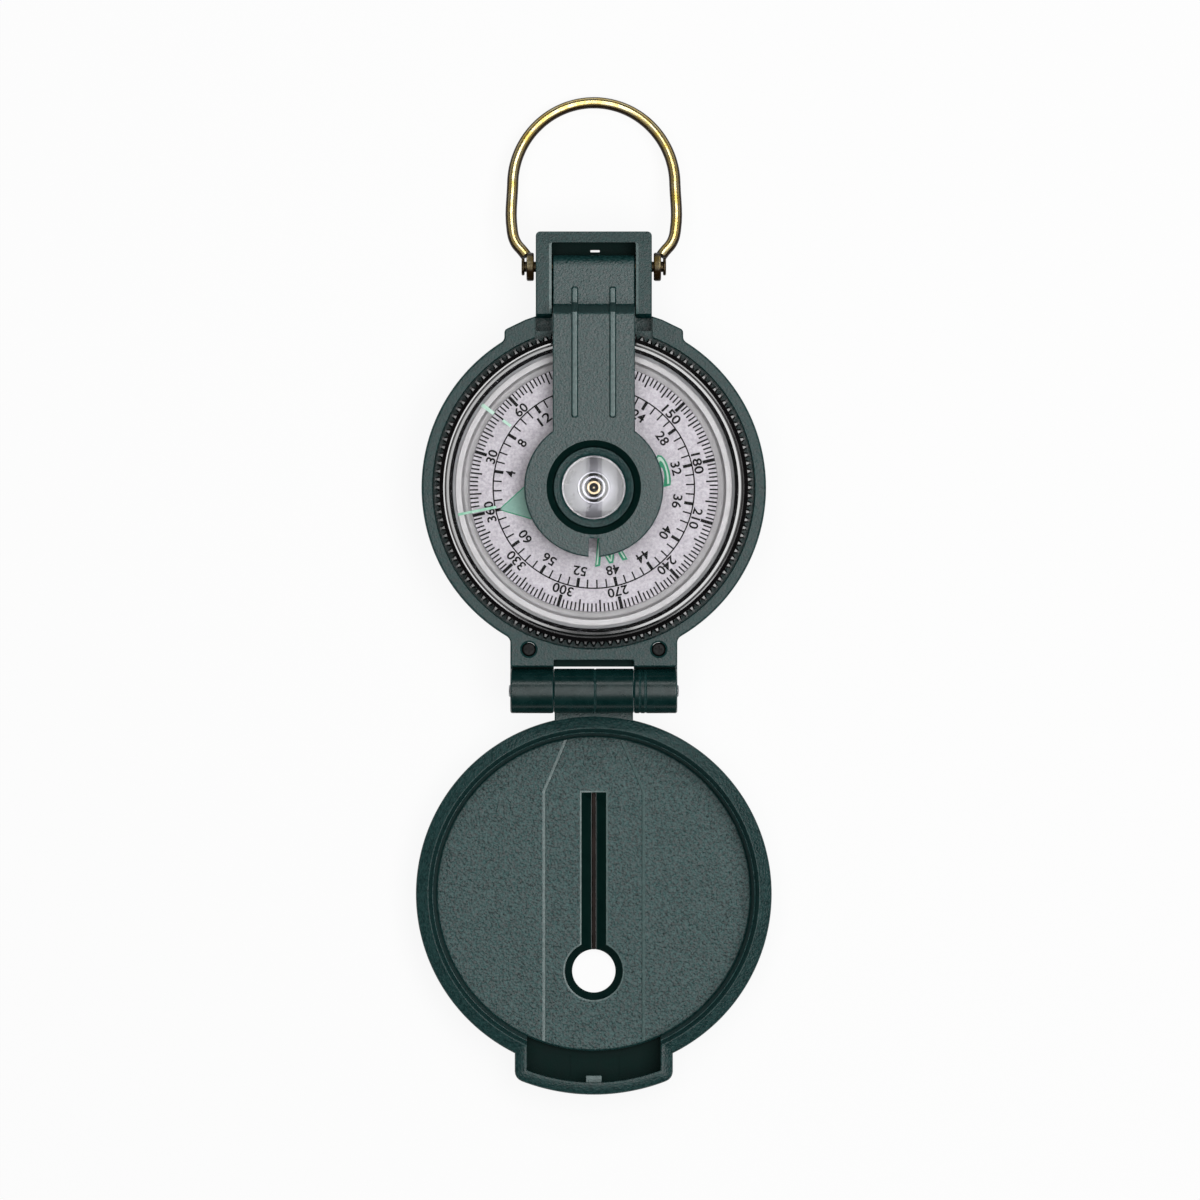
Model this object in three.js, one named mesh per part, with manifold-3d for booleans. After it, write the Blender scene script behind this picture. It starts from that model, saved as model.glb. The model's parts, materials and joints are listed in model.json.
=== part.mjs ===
// A folding lensatic compass, lying open on a table: a round case with a turning bezel and a
// floating card, a sighting cover on a barrel hinge, a magnifier on a folding arm and a wire
// thumb loop. Millimetres, +Z up. The origin is on the dial axis, on the underside of the case.
// +Y points to the thumb loop and -Y to the opened cover.

import * as THREE from 'three';
import { mergeVertices } from 'three/addons/utils/BufferGeometryUtils.js';
import Module from 'manifold-3d';

const wasm = await Module();
wasm.setup();

// Clearances
const RUN_GAP = 0.3; // between pieces that move past each other
const FIT_GAP = 0.15; // round a piece that is pressed or bonded into its seat
const SEAT_GAP = 0.3; // under the closed cover's rim
const OVERCUT = 1; // how far a cut runs on past the face that it opens

// Card and its bearing
const CARD_RADIUS = 20.05;
const CARD_THICKNESS = 0.4;
const CARD_DEPTH = 1.5; // crystal underside to card face
const HUB_RADIUS = 4.3;
const HUB_HEIGHT = 0.8;
const HUB_CROWN_RADIUS = 2.5;
const SLEEVE_RADIUS = 2;
const SLEEVE_DROP = 1.7; // below the card
const JEWEL_RADIUS = 1.25;
const JEWEL_HEIGHT = 2.05;
const JEWEL_SOCKET_RADIUS = 0.95;
const JEWEL_SOCKET_DEPTH = 1.6;
const NEEDLE_RADIUS = 0.7;
const NEEDLE_TIP_RADIUS = 0.12;
const NEEDLE_TAPER = 1.6;
const MAGNET_WIDTH = 3;
const MAGNET_THICKNESS = 1.6;

// Liquid capsule
const CARD_SIDE_GAP = 1.35; // card edge to capsule wall
const CUP_WALL = 1.5;
const CUP_FLOOR = 1.2;
const CUP_DEPTH = 9.2;
const CUP_LIFT = 1.2; // base plate to capsule
const BOSS_RADIUS = 1.8;
const BOSS_HEIGHT = 1.8;
const SEAL_WIDTH = 0.5;
const SEAL_HEIGHT = 0.7;
const CRYSTAL_THICKNESS = 1.3;
const PLUG_RADIUS = 1.15;
const PLUG_HEAD_RADIUS = 1.9;
const PLUG_HEAD_THICKNESS = 0.5;
const PLUG_OFFSET = 12; // from the dial axis

// Bezel
const LIP_HEIGHT = 0.7;
const LIP_WIDTH = 0.4;
const LIP_BEVEL = 0.5;
const SKIRT_WALL = 1.3;
const SKIRT_DROP = 3.9; // below the bezel's seat
const KNURL_OVERHANG = 1.25; // tooth tips beyond the skirt
const KNURL_TEETH = 120;
const KNURL_DEPTH = 0.7;
const BEZEL_RISE = 2.6; // above the case flange
const BEZEL_CHAMFER = 1.15;
const SNAP_GROOVE_DEPTH = 0.5;
const SNAP_THICKNESS = 0.5;
const SNAP_REACH = 0.85; // snap ring beyond the case bore
const SNAP_DROP = 1.2; // below the bezel's seat
const SNAP_OPENING = 20; // degrees

// Case
const BASE_THICKNESS = 1.6;
const BASE_LEDGE = 0.75;
const FLANGE_WIDTH = 1.85;
const FLANGE_THICKNESS = 2.1;
const FLANGE_EDGE = 0.35;
const BEZEL_SEAT_DEPTH = 1.4; // flange top to bezel ledge
const CASE_WALL = 2.2;
const CASE_FOOT_CHAMFER = 0.8;

// Cover hinge
const HINGE_STANDOFF = 4.05; // cover rim to hinge axis
const KNUCKLE_RADIUS = 3.6;
const HINGE_WIDTH = 26.9;
const COVER_KNUCKLE_WIDTH = 12.3;
const HINGE_PIN_RADIUS = 1;
const HINGE_PIN_PROUD = 0.25;
const TAB_BRIDGE = 1.1; // tab end to the notch behind the cover's knuckle
const SCREW_EDGE = 3; // tab side to the screws
const SCREW_INSET = 2.8; // tab end to the screws
const SCREW_HEAD_RADIUS = 1.1;
const SCREW_HEAD_HEIGHT = 0.7;
const SCREW_HEAD_SINK = 0.8;
const SCREW_SHANK_RADIUS = 0.6;
const SCREW_LENGTH = 3.4;
const SCREW_RIM_CHAMFER = 0.25;

// Click spring
const SPRING_LENGTH = 9;
const SPRING_THICKNESS = 0.25;
const SPRING_HEIGHT = 0.6;
const SPRING_BUMP_WIDTH = 1.6;
const SPRING_BUMP = 0.55;

// Eyepiece
const ARM_WIDTH = 13.2;
const ARM_THICKNESS = 2;
const ARM_LIFT = 0.4; // above the bezel
const RING_RADIUS = 11.2;
const LENS_RADIUS = 6.3;
const LENS_EDGE = 0.4;
const LENS_CROWN = 0.45;
const LENS_LEDGE = 0.8; // width of the ledge under the lens
const LENS_LEDGE_THICKNESS = 0.6;
const RECESS_FLARE = 0.85;
const RETAINER_WIDTH = 1.35;
const RETAINER_HEIGHT = 0.5;
const SIGHT_NOTCH = 1.65;
const RIB_SPACING = 6.1;
const RIB_WIDTH = 1.25;
const RIB_HEIGHT = 0.4;
const RIB_RING_GAP = 0.7; // lens ring to the long ribs
const SHORT_RIB = 2.9;
const PLATE_THICKNESS = 2.2;
const PLATE_DROP = 0.8; // below the bracket's top
const RISER_FOOT = 1.75; // from the case edge
const RISER_LEAN = 1.5;
const PIVOT_REACH = 7.85; // case edge to pivot axis
const PIVOT_BARREL_RADIUS = 1.9;
const PIVOT_PIN_RADIUS = 0.85;
const PIVOT_HEAD_RADIUS = 1.4;
const PIVOT_HEAD_THICKNESS = 0.5;

// Eyepiece bracket and shoulders
const STRUT_WIDTH = 2.55;
const STRUT_GAP = 0.2; // beside the arm
const CROSSBAR = 1.75;
const WINDOW_CLEARANCE = 2; // barrel to crossbar
const BRACKET_HEIGHT = 6;
const BRACKET_FLOOR = 0.7; // under the arm's pivot
const CHANNEL_DEPTH = 1.2;
const CHANNEL_LENGTH = 1.4; // flange bore to strut ends
const SHOULDER_WIDTH = 28.8;
const SHOULDER_REACH = 1.45; // beyond the flange

// Thumb loop
const WIRE_RADIUS = 0.92;
const LOOP_HALF_WIDTH = 13.1; // wire centre
const LOOP_LEG = 14.1; // pivot to the arch's centre
const LOOP_ARCH = 14.2;
const LOOP_NECK = 5; // length over which the legs draw in
const EYE_RADIUS = 2.3;
const EYE_THICKNESS = 1.2;

// Cover
const COVER_FLOOR = 1.9;
const COVER_CLEARANCE = 1.4; // above the folded eyepiece
const COVER_RIM_WIDTH = 2.8;
const COVER_WALL_DRAFT = 0.5;
const COVER_EDGE_ROUND = 3;
const SPINE_RAISE = 0.6;
const SPINE_WIDTH = 15.5;
const SPINE_NECK_WIDTH = 7.5;
const SPINE_TAPER = 9.45;
const SPINE_RECESS = 0.5;
const LATCH_WIDTH = 25.5;
const LATCH_GAP = 0.22; // round the folded eyepiece's riser
const LATCH_WALL = 1.95;
const LATCH_FLOOR_DROP = 0.4; // below the cover's floor
const NUB_WIDTH = 2.6;
const NUB_REACH = 1.1;
const NUB_HEIGHT = 1.2;
const NUB_DROP = 2.6; // below the rim
const SIGHT_HOLE_RADIUS = 3.5;
const SIGHT_HOLE_FLARE = 1.25;
const SIGHT_HOLE_OFFSET = 12.6; // from the cover's centre, towards the latch
const SLOT_WIDTH = 4;
const SLIT_WIDTH = 1.1;
const SLOT_TOP = 16.3; // from the cover's centre, towards the hinge
const SIGHT_WIRE_RADIUS = 0.35;
const SIGHT_WIRE_SET = 1.2; // wire end set into the cover beyond the slot

// Facets on a full turn
const ROUND_SIDES = 60;
const INNER_SIDES = 40;
const SMALL_SIDES = 16;
const WIRE_SIDES = 8;
const WIRE_STEPS = 52;
const ARCH_STEPS = 16; // along the thumb loop's arch
const LENS_STEPS = 4; // across each face of the lens
const EDGE_STEPS = 4; // round the cover's outer edge

// Radii, from the card outwards
const cupBore = CARD_RADIUS + CARD_SIDE_GAP;
const cupRadius = cupBore + CUP_WALL;
const bezelBore = cupRadius + FIT_GAP;
const skirtRadius = bezelBore + SKIRT_WALL;
const knurlRadius = skirtRadius + KNURL_OVERHANG;
const caseBore = skirtRadius + RUN_GAP;
const flangeBore = knurlRadius + RUN_GAP;
const wallRadius = caseBore + CASE_WALL;
const caseRadius = flangeBore + FLANGE_WIDTH;
const coverBore = flangeBore; // the closed cover passes over the bezel
const coverRadius = coverBore + COVER_RIM_WIDTH;
const hingeY = -(coverRadius + HINGE_STANDOFF);
const pivotY = caseRadius + PIVOT_REACH;

// Levels, from the table up
const cupBottom = BASE_THICKNESS + CUP_LIFT;
const cupFloor = cupBottom + CUP_FLOOR;
const cupRim = cupFloor + CUP_DEPTH;
const crystalBottom = cupRim + FIT_GAP;
const crystalTop = crystalBottom + CRYSTAL_THICKNESS;
const lipBottom = crystalTop + FIT_GAP;
const bezelTop = lipBottom + LIP_HEIGHT;
const flangeTop = bezelTop - BEZEL_RISE;
const ledgeZ = flangeTop - BEZEL_SEAT_DEPTH;
const bezelSeat = ledgeZ + RUN_GAP;
const flangeBottom = flangeTop - FLANGE_THICKNESS;
const cardTop = crystalBottom - CARD_DEPTH;
const cardBottom = cardTop - CARD_THICKNESS;
const armBottom = bezelTop + ARM_LIFT;
const armTop = armBottom + ARM_THICKNESS;
const plateTop = flangeTop - PLATE_DROP;
const pivotZ = plateTop - PIVOT_BARREL_RADIUS;
const closedRim = flangeTop + SEAT_GAP;
const coverDepth = armTop + RIB_HEIGHT + COVER_CLEARANCE - closedRim + COVER_FLOOR;
const coverRim = coverDepth + SPINE_RAISE; // rim level while the cover lies open
const hingeZ = (closedRim + coverRim) / 2;

// Hinge layout
const tabEnd = hingeY + KNUCKLE_RADIUS + RUN_GAP;
const notchEnd = tabEnd + TAB_BRIDGE;
const knuckleHalf = COVER_KNUCKLE_WIDTH / 2;
const notchHalf = knuckleHalf + RUN_GAP;
const hingeHalf = HINGE_WIDTH / 2;
const screwX = hingeHalf - SCREW_EDGE;
const screwY = tabEnd + SCREW_INSET;
const headBottom = flangeTop - SCREW_HEAD_SINK - SCREW_HEAD_HEIGHT;

// Eyepiece layout
const armHalf = ARM_WIDTH / 2;
const windowHalf = armHalf + STRUT_GAP;
const strutOut = windowHalf + STRUT_WIDTH;
const windowEnd = pivotY + PIVOT_BARREL_RADIUS + WINDOW_CLEARANCE;
const bracketEnd = windowEnd + CROSSBAR;
const bracketBottom = flangeTop - BRACKET_HEIGHT;
const riserFoot = caseRadius + RISER_FOOT;
const lensSeat = armBottom + LENS_LEDGE_THICKNESS;
const lensBore = LENS_RADIUS + RUN_GAP;
const lensTop = lensSeat + FIT_GAP + LENS_EDGE;
const eyeInner = strutOut + RUN_GAP;
const eyeOuter = eyeInner + EYE_THICKNESS;

// Shape helpers

function toSolid(geometry) {
  const bare = geometry.clone();
  bare.deleteAttribute('normal');
  bare.deleteAttribute('uv');
  const merged = mergeVertices(bare, 1e-5);
  const corners = merged.index.array;
  const kept = [];
  for (let i = 0; i < corners.length; i += 3) {
    const [a, b, c] = [corners[i], corners[i + 1], corners[i + 2]];
    if (a !== b && b !== c && c !== a) {
      kept.push(a, b, c);
    }
  }
  const vertProperties = new Float32Array(merged.attributes.position.array);
  const triVerts = new Uint32Array(kept);
  return new wasm.Manifold(new wasm.Mesh({ numProp: 3, vertProperties, triVerts }));
}

function toGeometry(solid) {
  const mesh = solid.getMesh();
  const geometry = new THREE.BufferGeometry();
  geometry.setAttribute('position', new THREE.BufferAttribute(mesh.vertProperties, 3));
  geometry.setIndex(new THREE.BufferAttribute(mesh.triVerts, 1));
  geometry.computeVertexNormals();
  return geometry;
}

// A closed profile of [radius, z] points, counter-clockwise, turned about the Z axis.
function turned(profile, sides = ROUND_SIDES) {
  const points = profile.map(([radius, z]) => new THREE.Vector2(radius, z));
  if (profile[0][0] > 0) {
    points.push(points[0].clone());
  }
  return toSolid(new THREE.LatheGeometry(points, sides).rotateX(Math.PI / 2));
}

function disc(radius, bottom, top, sides = SMALL_SIDES) {
  return turned([[0, bottom], [radius, bottom], [radius, top], [0, top]], sides);
}

function ring(inner, outer, bottom, top, sides = ROUND_SIDES) {
  return turned([[inner, bottom], [outer, bottom], [outer, top], [inner, top]], sides);
}

function box(x, y, z) {
  const geometry = new THREE.BoxGeometry(x[1] - x[0], y[1] - y[0], z[1] - z[0]);
  return toSolid(geometry.translate((x[0] + x[1]) / 2, (y[0] + y[1]) / 2, (z[0] + z[1]) / 2));
}

function outline(points) {
  return new THREE.Shape(points.map(([u, v]) => new THREE.Vector2(u, v)));
}

// An outline in XY, raised along Z.
function plate(shape, bottom, top, curveSegments = ROUND_SIDES / 4) {
  const geometry = new THREE.ExtrudeGeometry(shape, {
    depth: top - bottom,
    bevelEnabled: false,
    curveSegments,
  });
  return toSolid(geometry.translate(0, 0, bottom));
}

// An outline of [y, z] points, drawn out along X.
function bar(points, left, right) {
  const geometry = new THREE.ExtrudeGeometry(outline(points), {
    depth: right - left,
    bevelEnabled: false,
  });
  const toSide = new THREE.Matrix4().makeBasis(
    new THREE.Vector3(0, 1, 0),
    new THREE.Vector3(0, 0, 1),
    new THREE.Vector3(1, 0, 0),
  );
  return toSolid(geometry.applyMatrix4(toSide).translate(left, 0, 0));
}

// A cylinder along X, through the point (y, z).
function crossRod(radius, left, right, y, z, sides = SMALL_SIDES) {
  const geometry = new THREE.CylinderGeometry(radius, radius, right - left, sides);
  geometry.rotateZ(Math.PI / 2);
  return toSolid(geometry.translate((left + right) / 2, y, z));
}

function mirrored(make) {
  return make(-1).add(make(1));
}

function span(side, near, far) {
  return side > 0 ? [near, far] : [-far, -near];
}

// Materials

function plastic(color, roughness) {
  return new THREE.MeshStandardMaterial({ color, roughness, metalness: 0 });
}

function metal(color, roughness) {
  return new THREE.MeshStandardMaterial({ color, roughness, metalness: 1 });
}

function clear(color, opacity) {
  return new THREE.MeshStandardMaterial({
    color,
    roughness: 0.08,
    metalness: 0,
    transparent: true,
    opacity,
  });
}

function greenPlastic() {
  return plastic(0x1f3f3b, 0.5);
}

function blackPlastic() {
  return plastic(0x141315, 0.35);
}

function springSteel() {
  return metal(0xa9adb0, 0.3);
}

function brass() {
  return metal(0xb9953c, 0.22);
}

function node(name, solid, material) {
  const mesh = new THREE.Mesh(toGeometry(solid), material);
  mesh.name = name;
  return mesh;
}

// Case

function snapGroove() {
  const middle = ledgeZ - SNAP_DROP;
  return [middle - SNAP_THICKNESS / 2 - RUN_GAP, middle + SNAP_THICKNESS / 2 + RUN_GAP];
}

function caseShell() {
  const baseSeat = BASE_THICKNESS + RUN_GAP;
  const ledgeRadius = caseBore + BASE_LEDGE;
  const [grooveBottom, grooveTop] = snapGroove();
  const grooveRadius = caseBore + SNAP_REACH + RUN_GAP;
  const wall = turned([
    [caseBore, baseSeat],
    [ledgeRadius, baseSeat],
    [ledgeRadius, 0],
    [wallRadius - CASE_FOOT_CHAMFER, 0],
    [wallRadius, CASE_FOOT_CHAMFER],
    [wallRadius, flangeBottom],
    [caseRadius, flangeBottom],
    [caseRadius, flangeTop - FLANGE_EDGE],
    [caseRadius - FLANGE_EDGE, flangeTop],
    [flangeBore, flangeTop],
    [flangeBore, ledgeZ],
    [caseBore, ledgeZ],
    [caseBore, grooveTop],
    [grooveRadius, grooveTop],
    [grooveRadius, grooveBottom],
    [caseBore, grooveBottom],
  ]);
  // The tab, the shoulders and the bracket start inside the wall.
  const rootRadius = (grooveRadius + wallRadius) / 2;
  const core = disc(rootRadius, 0, bezelTop, ROUND_SIDES);
  const tab = box([-hingeHalf, hingeHalf], [tabEnd, 0], [flangeBottom, flangeTop]);
  const notch = box([-notchHalf, notchHalf], [hingeY, notchEnd], [bracketBottom, bezelTop]);
  const shoulderDisc = disc(caseRadius + SHOULDER_REACH, bracketBottom, flangeTop, ROUND_SIDES);
  const shoulderHalf = SHOULDER_WIDTH / 2;
  const shoulderBand = box([-shoulderHalf, shoulderHalf], [0, bracketEnd], [0, flangeTop]);
  const shoulders = shoulderDisc.intersect(shoulderBand);
  const strutStart = flangeBore + CHANNEL_LENGTH;
  const bracket = box([-strutOut, strutOut], [0, bracketEnd], [bracketBottom, flangeTop]);
  const windowFloor = bracketBottom + BRACKET_FLOOR;
  const window = box([-windowHalf, windowHalf], [caseRadius, windowEnd], [windowFloor, bezelTop]);
  const channelHalf = strutOut + FIT_GAP;
  const channelFloor = flangeTop - CHANNEL_DEPTH;
  const channel = box([-channelHalf, channelHalf], [0, strutStart], [channelFloor, bezelTop]);
  const channelEnd = box([-windowHalf, windowHalf], [0, windowEnd], [channelFloor, bezelTop]);
  const boreEnd = strutOut + OVERCUT;
  const pinBore = crossRod(PIVOT_PIN_RADIUS + RUN_GAP, -boreEnd, boreEnd, pivotY, pivotZ);
  const springLimit = SPRING_LENGTH / 2 + RUN_GAP;
  const springBack = flangeBore + SPRING_THICKNESS + SPRING_BUMP + FIT_GAP;
  const springTop = ledgeZ + SPRING_HEIGHT + 2 * FIT_GAP;
  const springPocket = box([-springLimit, springLimit], [-springBack, 0], [ledgeZ, springTop]);
  return wall
    .add(tab.add(shoulders).add(bracket).subtract(core))
    .subtract(notch)
    .subtract(window)
    .subtract(channel)
    .subtract(channelEnd)
    .subtract(pinBore)
    .subtract(springPocket)
    .subtract(mirrored(screwHole));
}

function screwHole(side) {
  const headRadius = SCREW_HEAD_RADIUS + RUN_GAP;
  const shankRadius = SCREW_SHANK_RADIUS + RUN_GAP;
  const seat = headBottom - FIT_GAP;
  const profile = [
    [0, flangeBottom - OVERCUT],
    [shankRadius, flangeBottom - OVERCUT],
    [shankRadius, seat],
    [headRadius, seat],
    [headRadius, flangeTop - SCREW_RIM_CHAMFER],
    [headRadius + SCREW_RIM_CHAMFER, flangeTop],
    [headRadius + SCREW_RIM_CHAMFER, bezelTop],
    [0, bezelTop],
  ];
  return turned(profile, SMALL_SIDES).translate([side * screwX, screwY, 0]);
}

function basePlate() {
  const radius = caseBore + BASE_LEDGE - FIT_GAP;
  return disc(radius, 0, BASE_THICKNESS, INNER_SIDES);
}

function hingeBlock() {
  const top = flangeBottom - FIT_GAP;
  const bottom = hingeZ - KNUCKLE_RADIUS;
  const pilot = headBottom - SCREW_LENGTH - RUN_GAP;
  const arm = box([-hingeHalf, hingeHalf], [hingeY, 0], [bottom, top]);
  const caseClearance = disc(wallRadius + RUN_GAP, 0, bezelTop, ROUND_SIDES);
  const notchStart = hingeY - KNUCKLE_RADIUS - OVERCUT;
  const notch = box([-notchHalf, notchHalf], [notchStart, tabEnd], [0, bezelTop]);
  const knuckle = crossRod(KNUCKLE_RADIUS, -hingeHalf, hingeHalf, hingeY, hingeZ, ROUND_SIDES / 2);
  const boreEnd = hingeHalf + OVERCUT;
  const pinBore = crossRod(HINGE_PIN_RADIUS + RUN_GAP, -boreEnd, boreEnd, hingeY, hingeZ);
  const pilotHole = (side) => {
    const hole = disc(SCREW_SHANK_RADIUS + FIT_GAP, pilot, top + OVERCUT);
    return hole.translate([side * screwX, screwY, 0]);
  };
  return arm
    .subtract(caseClearance)
    .add(knuckle)
    .subtract(notch)
    .subtract(pinBore)
    .subtract(mirrored(pilotHole));
}

function hingeScrew(side) {
  const profile = [
    [0, headBottom - SCREW_LENGTH],
    [SCREW_SHANK_RADIUS, headBottom - SCREW_LENGTH],
    [SCREW_SHANK_RADIUS, headBottom],
    [SCREW_HEAD_RADIUS, headBottom],
    [SCREW_HEAD_RADIUS, headBottom + SCREW_HEAD_HEIGHT],
    [0, headBottom + SCREW_HEAD_HEIGHT],
  ];
  return turned(profile, SMALL_SIDES).translate([side * screwX, screwY, 0]);
}

function hingePin() {
  const half = hingeHalf + HINGE_PIN_PROUD;
  return crossRod(HINGE_PIN_RADIUS, -half, half, hingeY, hingeZ);
}

function eyepiecePin() {
  const headStart = eyeOuter + RUN_GAP;
  const headEnd = headStart + PIVOT_HEAD_THICKNESS;
  const shaft = crossRod(PIVOT_PIN_RADIUS, -headEnd, headEnd, pivotY, pivotZ);
  const head = (side) => {
    const [left, right] = span(side, headStart, headEnd);
    return crossRod(PIVOT_HEAD_RADIUS, left, right, pivotY, pivotZ);
  };
  return shaft.add(mirrored(head));
}

function snapRing() {
  const inner = skirtRadius - SNAP_GROOVE_DEPTH + RUN_GAP;
  const outer = caseBore + SNAP_REACH;
  const half = THREE.MathUtils.degToRad(SNAP_OPENING / 2);
  const shape = new THREE.Shape();
  shape.absarc(0, 0, outer, half, 2 * Math.PI - half, false);
  shape.absarc(0, 0, inner, 2 * Math.PI - half, half, true);
  const middle = ledgeZ - SNAP_DROP;
  return plate(shape, middle - SNAP_THICKNESS / 2, middle + SNAP_THICKNESS / 2, INNER_SIDES / 2);
}

function clickSpring() {
  const half = SPRING_LENGTH / 2;
  const back = -(flangeBore + SPRING_THICKNESS + SPRING_BUMP);
  const face = back + SPRING_THICKNESS;
  const foot = SPRING_BUMP_WIDTH / 2;
  const shape = outline([
    [-half, back],
    [-foot, back],
    [0, back + SPRING_BUMP],
    [foot, back],
    [half, back],
    [half, face],
    [foot, face],
    [0, face + SPRING_BUMP],
    [-foot, face],
    [-half, face],
  ]);
  const bottom = ledgeZ + FIT_GAP;
  return plate(shape, bottom, bottom + SPRING_HEIGHT);
}

// Bezel and capsule

function bezelRing() {
  const knurl = new THREE.Shape();
  const steps = KNURL_TEETH * 2;
  for (let step = 0; step < steps; step += 1) {
    const angle = (step / steps) * 2 * Math.PI;
    const radius = knurlRadius - (step % 2) * KNURL_DEPTH;
    const point = [radius * Math.cos(angle), radius * Math.sin(angle)];
    if (step === 0) {
      knurl.moveTo(...point);
    } else {
      knurl.lineTo(...point);
    }
  }
  const reach = knurlRadius + KNURL_DEPTH;
  const cap = turned([
    [0, bezelSeat - OVERCUT],
    [reach, bezelSeat - OVERCUT],
    [reach, bezelTop - BEZEL_CHAMFER - KNURL_DEPTH],
    [knurlRadius - BEZEL_CHAMFER, bezelTop],
    [0, bezelTop],
  ], KNURL_TEETH);
  const crown = plate(knurl, bezelSeat, bezelTop).intersect(cap);
  const skirt = disc(skirtRadius, bezelSeat - SKIRT_DROP, bezelSeat + FIT_GAP, ROUND_SIDES);
  const [grooveBottom, grooveTop] = snapGroove();
  const grooveRadius = skirtRadius - SNAP_GROOVE_DEPTH;
  const groove = ring(grooveRadius, skirtRadius + OVERCUT, grooveBottom, grooveTop, ROUND_SIDES);
  const lipRadius = bezelBore - LIP_WIDTH;
  const boreStart = bezelSeat - SKIRT_DROP - OVERCUT;
  const bore = turned([
    [0, boreStart],
    [bezelBore, boreStart],
    [bezelBore, lipBottom],
    [lipRadius, lipBottom],
    [lipRadius + LIP_BEVEL, bezelTop],
    [lipRadius + LIP_BEVEL, bezelTop + OVERCUT],
    [0, bezelTop + OVERCUT],
  ], ROUND_SIDES);
  return crown.add(skirt).subtract(groove).subtract(bore);
}

function crystal() {
  return disc(cupRadius, crystalBottom, crystalTop, INNER_SIDES);
}

function crystalSeal() {
  const top = cupRim + FIT_GAP / 2;
  return ring(cupRadius - SEAL_WIDTH, cupRadius, top - SEAL_HEIGHT, top, INNER_SIDES);
}

function capsuleCup() {
  const sealSeat = cupRim + FIT_GAP / 2 - SEAL_HEIGHT - FIT_GAP;
  const bossTop = cupFloor + BOSS_HEIGHT;
  const needleBore = NEEDLE_RADIUS + FIT_GAP;
  const cup = turned([
    [0, cupBottom],
    [cupRadius, cupBottom],
    [cupRadius, sealSeat],
    [cupRadius - SEAL_WIDTH - FIT_GAP, sealSeat],
    [cupRadius - SEAL_WIDTH - FIT_GAP, cupRim],
    [cupBore, cupRim],
    [cupBore, cupFloor],
    [BOSS_RADIUS, cupFloor],
    [BOSS_RADIUS, bossTop],
    [needleBore, bossTop],
    [needleBore, cupFloor],
    [0, cupFloor],
  ], INNER_SIDES);
  const plugHole = disc(PLUG_RADIUS + FIT_GAP, cupBottom - OVERCUT, cupFloor + OVERCUT);
  return cup.subtract(plugHole.translate([PLUG_OFFSET, 0, 0]));
}

function fillPlug() {
  const head = cupBottom - FIT_GAP;
  const profile = [
    [0, head - PLUG_HEAD_THICKNESS],
    [PLUG_HEAD_RADIUS, head - PLUG_HEAD_THICKNESS],
    [PLUG_HEAD_RADIUS, head],
    [PLUG_RADIUS, head],
    [PLUG_RADIUS, cupFloor],
    [0, cupFloor],
  ];
  return turned(profile, SMALL_SIDES).translate([PLUG_OFFSET, 0, 0]);
}

// Card and bearing

const hubTop = cardTop + FIT_GAP + HUB_HEIGHT;
const jewelBottom = hubTop - JEWEL_HEIGHT;
const needleTip = jewelBottom + JEWEL_SOCKET_DEPTH - RUN_GAP;

function pivotNeedle() {
  const foot = cupFloor + FIT_GAP;
  return turned([
    [0, foot],
    [NEEDLE_RADIUS, foot],
    [NEEDLE_RADIUS, needleTip - NEEDLE_TAPER],
    [NEEDLE_TIP_RADIUS, needleTip],
    [0, needleTip],
  ], SMALL_SIDES);
}

function pivotJewel() {
  const socketTop = jewelBottom + JEWEL_SOCKET_DEPTH;
  return turned([
    [JEWEL_SOCKET_RADIUS, jewelBottom],
    [JEWEL_RADIUS, jewelBottom],
    [JEWEL_RADIUS, hubTop],
    [0, hubTop],
    [0, socketTop],
    [NEEDLE_TIP_RADIUS, socketTop],
  ], SMALL_SIDES);
}

function cardHub() {
  const bore = JEWEL_RADIUS + FIT_GAP;
  const seat = cardTop + FIT_GAP;
  return turned([
    [bore, cardBottom - SLEEVE_DROP],
    [SLEEVE_RADIUS, cardBottom - SLEEVE_DROP],
    [SLEEVE_RADIUS, seat],
    [HUB_RADIUS, seat],
    [HUB_CROWN_RADIUS, hubTop],
    [bore, hubTop],
  ], SMALL_SIDES * 2);
}

function dialCard() {
  return ring(SLEEVE_RADIUS + FIT_GAP, CARD_RADIUS, cardBottom, cardTop, INNER_SIDES);
}

function cardMagnet() {
  const inner = SLEEVE_RADIUS + FIT_GAP;
  const top = cardBottom - FIT_GAP;
  return ring(inner, inner + MAGNET_WIDTH, top - MAGNET_THICKNESS, top, SMALL_SIDES * 2);
}

// Eyepiece

// The pivot barrel's outline, from the plate's underside round to its top.
function barrelArc() {
  const start = Math.PI - Math.asin((PIVOT_BARREL_RADIUS - PLATE_THICKNESS) / PIVOT_BARREL_RADIUS);
  const end = 2.5 * Math.PI;
  const points = [];
  for (let step = 0; step <= SMALL_SIDES; step += 1) {
    const angle = start + ((end - start) * step) / SMALL_SIDES;
    const y = pivotY + PIVOT_BARREL_RADIUS * Math.cos(angle);
    points.push([y, pivotZ + PIVOT_BARREL_RADIUS * Math.sin(angle)]);
  }
  return points;
}

function rib(side, height, start, end) {
  const middle = (side * RIB_SPACING) / 2;
  const half = RIB_WIDTH / 2;
  const across = [middle - half, middle + half];
  return box(across, [start, end], [height - RIB_HEIGHT, height + RIB_HEIGHT]);
}

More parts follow.
